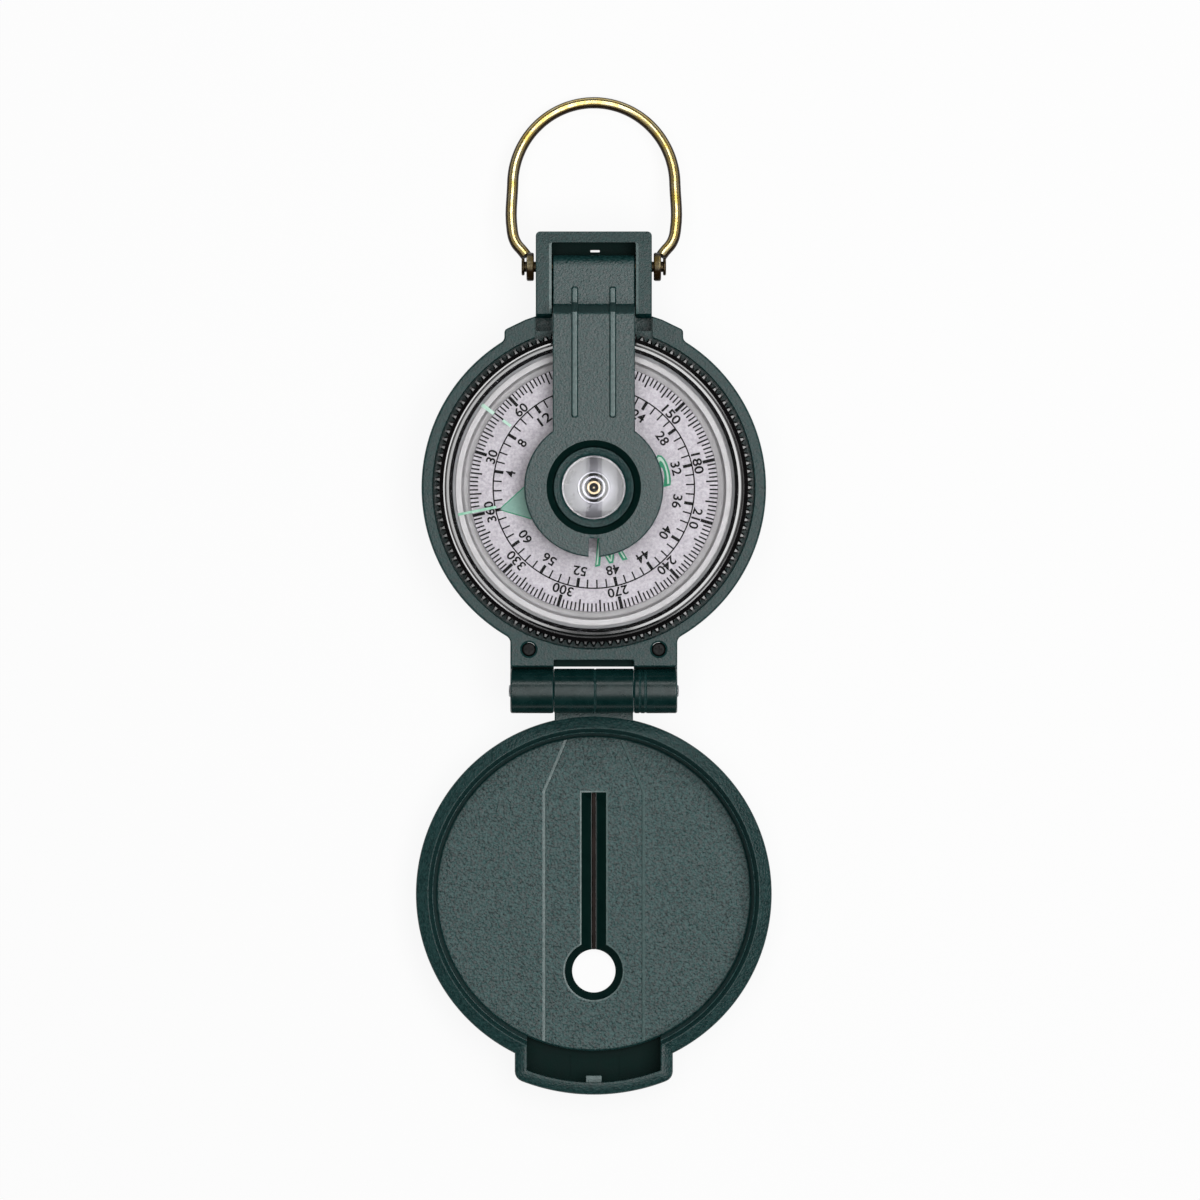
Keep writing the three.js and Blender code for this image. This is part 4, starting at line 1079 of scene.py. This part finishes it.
green_ink = finish(
    "green_ink", (62, 156, 118), (72, 166, 128), (100, 180, 146), (0.5, 0.6), patch_size=1.0,
    specular=0.1,
)
pale_green_ink = finish(
    "pale_green_ink", (156, 197, 184), (148, 189, 176), (176, 208, 196), (0.5, 0.6),
    patch_size=1.0, specular=0.1,
)
mint_ink = finish(
    "mint_ink", (206, 236, 220), (200, 230, 214), (220, 240, 230), (0.5, 0.6), patch_size=1.0,
)
LETTERS = (("E", 90, 4.4), ("S", 180, 5.6), ("W", 270, 5.4))  # letter, bearing, width
LETTER_RADIUS = 10.3
LETTER_HEIGHT = 4.4
LETTER_EDGE = 0.6  # how much smaller a letter's fill is than its outline
outlines = []
fills = []
for letter, bearing, width in LETTERS:
    outlines.append((letter, bearing, LETTER_RADIUS, LETTER_HEIGHT, width, 0.04))
    fills.append((letter, bearing, LETTER_RADIUS, LETTER_HEIGHT - LETTER_EDGE, width - LETTER_EDGE, -0.02))
prints.append(printed("card_letter_outlines", outlines, green_ink))
prints.append(printed("card_letter_fills", fills, mint_ink, INK))

ARROW_TIP = 15.8
ARROW_BASE = 8.2
ARROW_SLOPE = 4.45 / 2 / 4.0  # half width gained for each millimetre from the tip


def arrow(name, inset, lift, material):
    """The north arrow's triangle on the +X axis, drawn in by the inset and turned to north."""
    half = (ARROW_TIP - ARROW_BASE) * ARROW_SLOPE
    corners = [Vector((ARROW_TIP, 0)), Vector((ARROW_BASE, half)), Vector((ARROW_BASE, -half))]
    outline = grown(corners, -inset)
    bottom = card_top + lift
    made = loft(name, [(outline, bottom), (outline, bottom + INK)])
    made.data.transform(Matrix.Rotation(bearing_north, 4, "Z"))
    smooth(made, material)
    return made


prints.append(arrow("card_arrow_outline", 0.0, 0.0, green_ink))
prints.append(arrow("card_arrow_fill", 0.16, INK, pale_green_ink))
for piece in prints:
    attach(piece, "card")

# Card hub and jewel
# A bright turned aluminium cone pressed on the card, ringed at its crown, with a brass-cupped jewel
# in the middle that sits on the needle's point.

hub_low, hub_high = box_of("card_hub")
GROOVE_DEPTH = 0.45
polished_aluminium = finish(
    "polished_aluminium", (178, 176, 186), (164, 162, 172), (204, 202, 209), (0.26, 0.36),
    patch_size=2.5, scuff_amount=0.05, grain_size=0.2, grain_depth=0.001, metallic=0.6,
)
hub = turned("hub_cone", [
    (1.4, hub_low.z),
    (2.0, hub_low.z),
    (2.0, card_top + 0.15),
    (hub_high.x, card_top + 0.15),
    (hub_high.x, card_top + 0.25, 0.1),
    (2.44, hub_high.z - 0.12, 0.1),
    (2.36, hub_high.z, 0.05),
    (2.14, hub_high.z, 0.05),
    (2.12, hub_high.z - GROOVE_DEPTH),
    (1.76, hub_high.z - GROOVE_DEPTH),
    (1.74, hub_high.z, 0.05),
    (1.4, hub_high.z, 0.05),
], 96)
# The groove at the hub's crown is painted black as painted shade.
for face in hub.data.polygons:
    middle = face.center / MM
    if middle.z < hub_high.z - 0.1 and 1.73 < middle.xy.length < 2.16:
        face.material_index = 1
smooth(hub, polished_aluminium, black_ink_and_shade)
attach(hub, "card")
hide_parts("card_hub")

jewel_low, jewel_high = box_of("pivot_jewel")
turned_brass = finish(
    "turned_brass", (206, 186, 156), (186, 164, 132), (216, 200, 172), (0.25, 0.38),
    patch_size=0.5, scuff_spacing=0.6, grain_size=0.08, grain_depth=0.002, metallic=1.0,
)
jewel = turned("jewel_cup", [
    (0.95, jewel_low.z),
    (jewel_high.x, jewel_low.z, 0.05),
    (jewel_high.x, jewel_high.z - 0.5, 0.05),
    (1.04, jewel_high.z - 0.45),
    (1.0, jewel_high.z - 0.1, 0.06),
    (0.68, jewel_high.z - 0.1, 0.06),
    (0.62, jewel_high.z - 0.4),
    (0.16, jewel_high.z - 0.42),
    (0.12, jewel_high.z - 0.3, 0.04),
    (0, jewel_high.z - 0.28),
    (0, jewel_low.z + 1.6),
    (0.12, jewel_low.z + 1.6),
], 64)
# The jewel's dimple and the outer slope of its cup are painted black as painted shade.
for face in jewel.data.polygons:
    middle = face.center / MM
    dimple = 0.13 < middle.xy.length < 0.66 or middle.xy.length > 1.01
    if middle.z > jewel_high.z - 0.55 and dimple:
        face.material_index = 1
smooth(jewel, turned_brass, black_ink_and_shade)
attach(jewel, "card")
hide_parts("pivot_jewel")

# Crystal and its luminous lines
# A flat disc of clear acrylic under the bezel's lip that seals the capsule. Two luminous green lines
# are painted on its underside and turn with the bezel.


def clear(name, tint, ior, smudge):
    """Clear glass or acrylic, faintly smudged, that lets lamp light through to what is under it."""
    material, tree, shader = shaded(name)
    patch = put(tree, "ShaderNodeGroup", {"Patch Size": 6 * MM}, node_tree=mottle).outputs[0]
    feed(tree, shader, {
        "Base Color": tint, "Transmission Weight": 1.0, "IOR": ior,
        "Roughness": spread(tree, patch, (0, 1), (0, smudge)),
    })
    through = put(tree, "ShaderNodeBsdfTransparent", {"Color": tint})
    ray = put(tree, "ShaderNodeLightPath").outputs
    unbent = reckon(tree, "MAXIMUM", ray["Is Shadow Ray"], ray["Is Diffuse Ray"])
    shown = put(tree, "ShaderNodeMixShader", {0: unbent, 1: shader.outputs[0], 2: through.outputs[0]})
    feed(tree, tree.nodes["Material Output"], {"Surface": shown.outputs[0]})
    return material


crystal_low, crystal_high = box_of("crystal")
acrylic = clear("clear_acrylic", (0.995, 0.995, 0.995, 1), 1.15, 0.03)
crystal = disc("crystal_disc", crystal_high.x, crystal_low.z, crystal_high.z, (0.15, 0.15))
smooth(crystal, acrylic)
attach(crystal, "bezel")
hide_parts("crystal")

luminous_green = finish(
    "luminous_green", (140, 206, 174), (196, 236, 216), (206, 240, 224), (0.5, 0.6),
    patch_size=0.8, specular=0.1,
)
pale_luminous = finish(
    "pale_luminous", (190, 232, 212), (210, 240, 226), (220, 244, 232), (0.5, 0.6),
    patch_size=0.8,
)
LINES = (
    # name, degrees clockwise from +Y, inner radius, outer radius, width, finish
    ("crystal_line", 258.7, 16.0, 22.3, 0.42, luminous_green),
    ("crystal_second_line", 306.5, 20.0, 22.4, 0.6, pale_luminous),
    ("crystal_worn_line", 306.5, 16.6, 18.2, 0.45, pale_luminous),
)
for name, place, start, end, width, material in LINES:
    depth = (crystal_low.z - 2 * INK, crystal_low.z - INK)
    line = bar(name, (start, end), span(0, width / 2), depth)
    line.data.transform(Matrix.Rotation(math.radians(90 - place), 4, "Z"))
    smooth(line, material)
    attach(line, "bezel")

# Eyepiece arm and its pin
# One green moulding: a pivot plate in the bracket, a steep riser, a flat ribbed arm and a ring for
# the lens with a sighting notch. A steel pin with riveted heads runs through it and the bracket.

arm_high = box_of("eyepiece_arm")[1]
RIB_HEIGHT = 0.4
arm_top = arm_high.z - RIB_HEIGHT
arm_bottom = arm_top - 2.0
ring_radius = arm_high.x
BARREL_RADIUS = 1.9
plate_top = pivot.z + BARREL_RADIUS
plate_bottom = plate_top - 2.2
riser_foot = flange_radius + 1.75
riser_head = riser_foot - 1.5
RIB_X = 3.05
RIB_HALF = 0.55
LENS_SEAT = arm_bottom + 0.6
SHANK_START = 8.4  # inside the ring
BARREL_STEPS = 24
LENS_CLEAR = 5.5
LENS_BORE = 6.6
LENS_MOUTH = 7.6
SIGHT_HALF = 0.825
SIGHT_END = -8.2
PIN_RADIUS = 0.85
PIN_BORE = PIN_RADIUS + 0.05
PIN_HEAD = 1.4

barrel_start = math.pi - math.asin((plate_bottom - pivot.z) / BARREL_RADIUS)
barrel = []
for step in range(BARREL_STEPS + 1):
    angle = barrel_start + (2.5 * math.pi - barrel_start) * step / BARREL_STEPS
    barrel.append((pivot.y + BARREL_RADIUS * math.cos(angle), pivot.z + BARREL_RADIUS * math.sin(angle)))
arm = slab("eyepiece_moulding", [
    (SHANK_START, arm_bottom),
    (flange_bore, arm_bottom, 0.4),
    (flange_radius + 0.3, CHANNEL_FLOOR + 0.3, 0.4),
    (flange_radius + 0.3, plate_bottom, 0.3),
    *barrel,
    (riser_foot, plate_top, 0.25),
    (riser_head, arm_top, 0.35),
    (SHANK_START, arm_top),
], -ARM_HALF, ARM_HALF, 0.22, along="x")
lens_ring = disc("lens_ring", ring_radius, arm_bottom, arm_top, (0.25, 0.3))
ribs = []
for side in (-1, 1):
    ribs.append(slab("rib", [
        (ring_radius, arm_top - 0.6),
        (ring_radius, arm_high.z, 0.36),
        (riser_head + 0.2, arm_high.z),
        (riser_foot + 0.35, plate_top + RIB_HEIGHT),
        (riser_foot + 2.9, plate_top + RIB_HEIGHT, 0.36),
        (riser_foot + 2.9, plate_top - 0.6),
        (riser_foot - 0.5, plate_top - 0.6),
        (riser_head - 0.8, arm_top - 0.6),
    ], *span(side * RIB_X, RIB_HALF), 0.33, along="x"))
arm_cuts = [
    turned("lens_opening", [
        (0, arm_bottom - OVERCUT),
        (LENS_CLEAR, arm_bottom - OVERCUT),
        (LENS_CLEAR, LENS_SEAT),
        (LENS_BORE, LENS_SEAT),
        (LENS_BORE, LENS_SEAT + 0.55),
        (LENS_MOUTH - 0.15, arm_top - 0.12, 0.1),
        (LENS_MOUTH, arm_top),
        (LENS_MOUTH, arm_top + OVERCUT),
        (0, arm_top + OVERCUT),
    ]),
    flared_cut(
        "sighting_notch", oblong(span(0, SIGHT_HALF), (-ring_radius - OVERCUT, SIGHT_END)),
        arm_bottom - OVERCUT, arm_top, 0.15,
    ),
    rod("pin_room", PIN_BORE, span(0, ARM_HALF + OVERCUT), pivot),
]
carve(arm, add=[lens_ring, *ribs], cut=arm_cuts)
# The lens seat and the groove round it take the painted shade, and the rib tops take the painted
# highlight.
for face in arm.data.polygons:
    middle = face.center / MM
    on_ribs = middle.z > arm_high.z - 0.03 or abs(middle.z - plate_top - RIB_HEIGHT) < 0.03
    if LENS_SEAT - 0.1 < middle.z < arm_top - 0.01 and middle.xy.length < LENS_MOUTH + 0.02:
        face.material_index = 1
    elif face.normal.z > 0.98 and on_ribs:
        face.material_index = 2
green_arm = finish(
    "green_arm", (5, 41, 41), (30, 68, 67), (56, 84, 82), (0.32, 0.46),
    patch_size=0.5, scuff_amount=0.25, grain_size=0.32, grain_depth=0.06, specular=0.62,
)
smooth(arm, green_arm, green_painted_shade, green_painted_highlight)
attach(arm, "eyepiece")
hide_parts("eyepiece_arm")

pin_end = box_of("eyepiece_pin")[1].x
pin_heads = [
    rod("pin_head", PIN_HEAD, beside(side, pin_end - 0.5, pin_end), pivot, 0.2) for side in (1, -1)
]
eyepiece_pin = rod("eyepiece_pin_steel", PIN_RADIUS, span(0, pin_end - 0.2), pivot)
carve(eyepiece_pin, add=pin_heads)
aged_steel = finish(
    "aged_steel", (84, 72, 50), (44, 38, 28), (150, 138, 108), (0.3, 0.45),
    patch_size=0.7, scuff_spacing=0.6, grain_size=0.12, grain_depth=0.006, metallic=0.9,
)
smooth(eyepiece_pin, aged_steel)
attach(eyepiece_pin, "case")
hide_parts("eyepiece_pin")

# Eyepiece lens and its retainer
# A small double-convex magnifier, clear glass, dropped into the ring on to a ledge and held there by
# a pressed ring of the same green plastic as the arm.

lens_low, lens_high = box_of("eyepiece_lens")
lens_radius = lens_high.x
LENS_EDGE = 0.4
lens_middle = (lens_low.z + lens_high.z) / 2
lens_crown = (lens_high.z - lens_low.z - LENS_EDGE) / 2
LENS_STEPS = 16


def lens_face(way):
    """One face of the lens from its axis to its edge."""
    face = []
    for step in range(LENS_STEPS + 1):
        share = step / LENS_STEPS
        rise = LENS_EDGE / 2 + lens_crown * (1 - share ** 2)
        face.append((lens_radius * share, lens_middle + way * rise))
    return face


optical_glass = clear("optical_glass", (0.985, 0.99, 0.99, 1), 1.49, 0.0)
magnifier = turned("magnifier_lens", [*lens_face(-1), *reversed(lens_face(1))], 128)
smooth(magnifier, optical_glass)
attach(magnifier, "eyepiece")
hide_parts("eyepiece_lens")

holder_low, holder_high = box_of("lens_retainer")
retainer = turned("lens_retaining_ring", [
    (holder_high.x - 1.35, holder_low.z),
    (holder_high.x, holder_low.z),
    (holder_high.x, holder_high.z, 0.15),
    (holder_high.x - 0.95, holder_high.z - 0.28, 0.1),
    (holder_high.x - 1.35, holder_high.z - 0.48, 0.05),
])
smooth(retainer, green_satin, angle=12)
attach(retainer, "eyepiece")
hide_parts("lens_retainer")

# Cover and its sight wire
# A deep green lid that lies open on its back: a smooth sloped rim, a grained floor with a sunk band
# down the middle, a sighting slot with a black wire in it, a round hole and a latch at the far end.

COVER_Y = 2 * hinge.y
cover_low, cover_high = box_of("cover_shell")
cover_radius = cover_high.x
COVER_BORE = cover_radius - 2.8
SPINE_RAISE = 0.6
FLOOR_LEVEL = SPINE_RAISE + 1.9
BAND_LEVEL = FLOOR_LEVEL - 0.22
LATCH_LEVEL = FLOOR_LEVEL - 0.4
FLOOR_RADIUS = COVER_BORE - 0.5
RIM_FALL = 0.8  # the rim slopes down towards its outer edge
BAND_HALF = 7.75
BAND_NECK = 3.75
BAND_TAPER = COVER_BORE - 9.45
LATCH_HALF = 12.75
LATCH_WALL = 1.95
latch_radius = COVER_Y - cover_low.y
LATCH_INNER = latch_radius - LATCH_WALL
HOLE_Y = -12.6
HOLE_RADIUS = 3.5
SLOT_TOP = 16.3
SLOT_HALF = 2.0
SLOT_EASE = 0.25  # where the slot's upper edge is eased
EASE_LEVEL = BAND_LEVEL - 0.045
SLOPE = 1.2  # of the slot's end and of the hole, from floor to bottom
SLIT_HALF = 0.36
SPINE_ENDS = (-24.0, 25.0)
MOULD_LINE = 0.12
open_cover = (0, COVER_Y, 0)

bowl = turned("cover_moulding", [
    (0, SPINE_RAISE),
    (cover_radius, SPINE_RAISE, 3.0),
    (cover_radius, RIM_LEVEL - RIM_FALL, 0.45),
    (COVER_BORE + 0.75, RIM_LEVEL, 0.2),
    (COVER_BORE + 0.2, RIM_LEVEL - 1.5, 0.1),
    (COVER_BORE, RIM_LEVEL - 1.54, 0.1),
    (FLOOR_RADIUS, FLOOR_LEVEL, 0.35),
    (0, FLOOR_LEVEL),
], 240, centre=open_cover)


def band_outline(margin=0.0):
    """The band down the middle of the cover, drawn in towards the hinge."""
    half = BAND_HALF + margin
    neck = BAND_NECK + margin
    end = FLOOR_RADIUS + OVERCUT
    return [
        (-half, -end), (half, -end), (half, BAND_TAPER), (neck, COVER_BORE), (neck, end + OVERCUT),
        (-neck, end + OVERCUT), (-neck, COVER_BORE), (-half, BAND_TAPER),
    ]


def arc_points(radius, half, steps=24):
    """Points of an arc about the cover's centre on the latch side, from -half to half across."""
    reach = math.asin(half / radius)
    angles = [reach * (2 * step / steps - 1) for step in range(steps + 1)]
    return [(radius * math.sin(a), -radius * math.cos(a)) for a in angles]


latch_half_inner = LATCH_HALF - LATCH_WALL
latch_corner = math.sqrt(latch_radius ** 2 - LATCH_HALF ** 2)
latch_outline = rounded([
    *arc_points(latch_radius, LATCH_HALF - 1.6),
    (LATCH_HALF, -latch_corner, 1.7),
    (LATCH_HALF, -COVER_BORE + 3.4), (-LATCH_HALF, -COVER_BORE + 3.4),
    (-LATCH_HALF, -latch_corner, 1.7),
])
latch = loft("latch", [
    (grown(latch_outline, -0.5), SPINE_RAISE),
    (latch_outline, SPINE_RAISE + 0.5),
    (latch_outline, RIM_LEVEL - RIM_FALL - 0.25),
    (grown(latch_outline, -0.15), RIM_LEVEL - RIM_FALL),
    (grown(latch_outline, -1.55), RIM_LEVEL - 0.15),
], centre=open_cover)
lid_space = disc(
    "lid_space", COVER_BORE + 0.9, FLOOR_LEVEL - 0.05, RIM_LEVEL + OVERCUT, sides=240, centre=open_cover,
)
carve(latch, cut=[lid_space])
spine = slab("spine", [
    (-BAND_HALF, SPINE_ENDS[0], 0.5), (BAND_HALF, SPINE_ENDS[0], 0.5), (BAND_HALF, BAND_TAPER),
    (BAND_NECK, SPINE_ENDS[1], 0.5), (-BAND_NECK, SPINE_ENDS[1], 0.5), (-BAND_HALF, BAND_TAPER),
], 0, SPINE_RAISE + 0.5, 0.25, centre=open_cover)
NECK_HALF = KNUCKLE_HALF - 0.1
NECK_TOP = RIM_LEVEL - RIM_FALL - 0.05
neck = bar(
    "neck", span(0, NECK_HALF), (cover_radius - 1.2, -hinge.y), (NECK_TOP - 2, NECK_TOP), 0.4, 0.25,
    centre=open_cover,
)
knuckle = rod(
    "cover_knuckle", KNUCKLE_RADIUS, span(0, KNUCKLE_HALF), hinge, 0.25, BARREL_SIDES, (0.22,),
)
NUB_TOP = RIM_LEVEL - 2.6
nub = bar(
    "nub", span(0, 1.3), (-LATCH_INNER - 0.6, -LATCH_INNER + 1.1), (NUB_TOP - 1.2, NUB_TOP), 0.2, 0.1,
    centre=open_cover,
)
inner_arc = arc_points(FLOOR_RADIUS + 0.1, latch_half_inner)
latch_room = flared_cut("latch_room", [
    *arc_points(LATCH_INNER, latch_half_inner), *reversed(inner_arc),
], LATCH_LEVEL, RIM_LEVEL - 0.15, 0.2, centre=open_cover)
band_wide = rounded(band_outline(0.55))
band_cut = loft("band", [
    (rounded(band_outline()), BAND_LEVEL), (rounded(band_outline(0.08)), BAND_LEVEL + 0.12),
    (band_wide, FLOOR_LEVEL), (band_wide, FLOOR_LEVEL + 1),
], centre=open_cover)
band_limit = turned("band_limit", [
    (FLOOR_RADIUS - 0.2, BAND_LEVEL - 1), (FLOOR_RADIUS + 9, BAND_LEVEL - 1),
    (FLOOR_RADIUS + 9, RIM_LEVEL + 1), (FLOOR_RADIUS - 0.2, RIM_LEVEL + 1),
], centre=open_cover)
carve(band_cut, cut=[band_limit])
slot_bottom = BAND_LEVEL / 2
slot_wide = rounded(oblong(span(0, SLOT_HALF + SLOT_EASE), (HOLE_Y, SLOT_TOP + SLOT_EASE)))
slot = loft("slot", [
    (rounded(oblong(span(0, 0.6), (HOLE_Y, SLOT_TOP - SLOPE))), slot_bottom),
    (rounded(oblong(span(0, SLOT_HALF), (HOLE_Y, SLOT_TOP))), EASE_LEVEL),
    (slot_wide, BAND_LEVEL),
    (slot_wide, FLOOR_LEVEL),
], centre=open_cover)
slit = bar("slit", span(0, SLIT_HALF), (HOLE_Y, SLOT_TOP), (-OVERCUT, BAND_LEVEL), centre=open_cover)
hole_edge = HOLE_RADIUS + SLOPE + SLOT_EASE
sight_hole = turned("sight_hole", [
    (0, -OVERCUT),
    (HOLE_RADIUS, -OVERCUT),
    (HOLE_RADIUS, slot_bottom),
    (HOLE_RADIUS + SLOPE, EASE_LEVEL),
    (hole_edge, BAND_LEVEL),
    (hole_edge, FLOOR_LEVEL),
    (0, FLOOR_LEVEL),
], 96, centre=(0, COVER_Y + HOLE_Y, 0))
knuckle_bore = rod("knuckle_bore", HINGE_BORE, span(0, KNUCKLE_HALF + OVERCUT), hinge)
mould_lines = [
    bar("mould_line", span(x, MOULD_LINE), (-LATCH_INNER + 0.8, -LATCH_INNER + 4.2),
        (LATCH_LEVEL - MOULD_LINE, LATCH_LEVEL + 1), centre=open_cover)
    for x in (-3.85, 4.05)
]
cover = carve(
    bowl,
    add=[latch, spine, neck, knuckle],
    cut=[latch_room, band_cut, slot, slit, sight_hole, knuckle_bore, *mould_lines],
)
carve(cover, add=[nub])

green_grain = finish(
    "green_grain", (2, 32, 32), (56, 92, 91), (60, 88, 86), (0.42, 0.55),
    patch_size=0.4, scuff_amount=0.1, grain_size=0.4, grain_depth=0.14, specular=0.6,
)
# The cover's faces: the floor is grained; the latch floor and the low walls of the slot and the hole take
# the painted shade; the eased edges of the band and the slot and the nub's top take the painted highlight;
# the barrel takes its darker green.
for face in cover.data.polygons:
    middle = face.center / MM - Vector(open_cover)
    flat = face.normal.z > 0.985 and LATCH_LEVEL - 0.2 < middle.z < FLOOR_LEVEL + 0.05
    near_slot = abs(middle.x) < SLOT_HALF + 0.1 and HOLE_Y < middle.y < SLOT_TOP + 0.1
    near_hole = (middle.xy - Vector((0, HOLE_Y))).length < HOLE_RADIUS + SLOPE + 0.05
    eased = 0.95 < face.normal.z < 0.985 and BAND_LEVEL - 0.04 < middle.z < FLOOR_LEVEL
    if on_barrel(face):
        face.material_index = 4
    elif flat:
        face.material_index = 1 if middle.xy.length < FLOOR_RADIUS else 2
    elif eased:
        face.material_index = 3
    elif middle.z < BAND_LEVEL - 0.05 and face.normal.z > 0.1 and (near_slot or near_hole):
        face.material_index = 2
    elif abs(middle.z - NUB_TOP) < 0.02 and face.normal.z > 0.9:
        face.material_index = 3
smooth(cover, green_satin, green_grain, green_painted_shade, green_painted_highlight, green_shaded_barrel, angle=28)
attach(cover, "cover")
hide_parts("cover_shell")

wire_low, wire_high = box_of("sight_wire")
sight_wire = disc(
    "sight_wire_black", 0.35, wire_low.y, wire_high.y, (0.1, 0.1), 24,
    along="y", centre=(0, 0, (wire_low.z + wire_high.z) / 2),
)
wire_black = finish(
    "wire_black", (40, 31, 28), (28, 23, 21), (60, 50, 44), (0.5, 0.6), specular=0.1,
)
smooth(sight_wire, wire_black)
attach(sight_wire, "cover")
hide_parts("sight_wire")

# Thumb loop
# Brass wire bent to an arch, its ends drawn in and flattened to eyes that turn on the eyepiece's pin
# outside the bracket. It hangs from the pin until the arch lies on the table.

WIRE_RADIUS = 0.92
LOOP_HALF = 13.1
LOOP_LEG = 14.1
LOOP_ARCH = 14.2
EYE_RADIUS = 2.3
EYE_INNER = STRUT_OUT + 0.3
EYE_OUTER = EYE_INNER + 1.2
EYE_SHINE = 0.12  # how little of the eyes is left bright; the rest of them takes the painted shade
ARCH_STEPS = 24
droop = math.asin((pivot.z - WIRE_RADIUS) / (LOOP_LEG + LOOP_ARCH))


def on_loop(x, reach):
    """A place across the loop and out from its pivot, with the loop hanging to the table."""
    return Vector((x, pivot.y + reach * math.cos(droop), pivot.z - reach * math.sin(droop))) * MM


def wire_tree():
    """A round wire swept along a curve, with closed ends."""
    tree, given = shape_tree("swept_wire", {"Wire Radius": "Float", "Sides": "Int", "Finish": "Material"})
    section = put(tree, "GeometryNodeCurvePrimitiveCircle", {
        "Resolution": given["Sides"], "Radius": given["Wire Radius"],
    })
    wire = put(tree, "GeometryNodeCurveToMesh", {
        "Curve": given["Geometry"], "Profile Curve": section.outputs[0], "Fill Caps": True,
    })
    return end_tree(tree, wire.outputs[0], given["Finish"])


# The dark brown given last is painted shade for the wire's sides and its eyes.
bright_brass = finish(
    "bright_brass", (255, 240, 190), (246, 210, 112), (255, 246, 215), (0.2, 0.3),
    patch_size=1.6, scuff_spacing=1.5, scuff_amount=0.15, grain_size=0.3, grain_depth=0.0005, metallic=1.0,
    specular=0.1, painted_shade=(36, 24, 9),
)
SHADE_TO_BRIGHT = (0.8, 0.93)  # how far the wire's face is turned up or down, from the painted shade on its sides to bright brass
LEG_BENDS = ((10.9, 1.9), (11.4, 2.6), (12.6, 4.2), (13.15, 6.2))  # across and out from the pivot
route = list(LEG_BENDS)
for step in range(ARCH_STEPS + 1):
    angle = math.pi * step / ARCH_STEPS
    route.append((LOOP_HALF * math.cos(angle), LOOP_LEG + LOOP_ARCH * math.sin(angle)))
route += [(-x, reach) for x, reach in reversed(LEG_BENDS)]
path = bpy.data.curves.new("loop_path", "CURVE")
path.dimensions = "3D"
path.resolution_u = 6
spline = path.splines.new("BEZIER")
spline.bezier_points.add(len(route) - 1)
for point, (x, reach) in zip(spline.bezier_points, route):
    point.co = on_loop(x, reach)
    point.handle_left_type = "AUTO"
    point.handle_right_type = "AUTO"
path_holder = placed("loop_path", path)
add_tree(path_holder, wire_tree(), {
    "Wire Radius": WIRE_RADIUS * MM, "Sides": 24, "Finish": bright_brass,
})
loop = placed("thumb_loop_wire", plain_mesh(path_holder))
bpy.data.objects.remove(path_holder)
eyes = [rod("eye", EYE_RADIUS, beside(side, EYE_INNER, EYE_OUTER), pivot, 0.3) for side in (-1, 1)]
carve(loop, add=eyes, cut=[rod("eye_bore", PIN_BORE, span(0, EYE_OUTER + OVERCUT), pivot)])
# The brass is painted dark along the wire's sides as shade and kept bright where its face turns up or
# down; the eyes are painted dark nearly all over.
upright = Vector((0, math.sin(droop), math.cos(droop)))
unshaded_share = loop.data.attributes.new("unshaded_share", "FLOAT", "POINT")
for corner, value in zip(loop.data.vertices, unshaded_share.data):
    turned_up = abs(corner.normal.dot(upright))
    shine = min(max((turned_up - SHADE_TO_BRIGHT[0]) / (SHADE_TO_BRIGHT[1] - SHADE_TO_BRIGHT[0]), 0), 1)
    on_eye = (corner.co / MM - pivot).length < EYE_OUTER
    value.value = shine * EYE_SHINE if on_eye else shine
smooth(loop, bright_brass)
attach(loop, "thumb_loop")
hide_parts("thumb_loop")
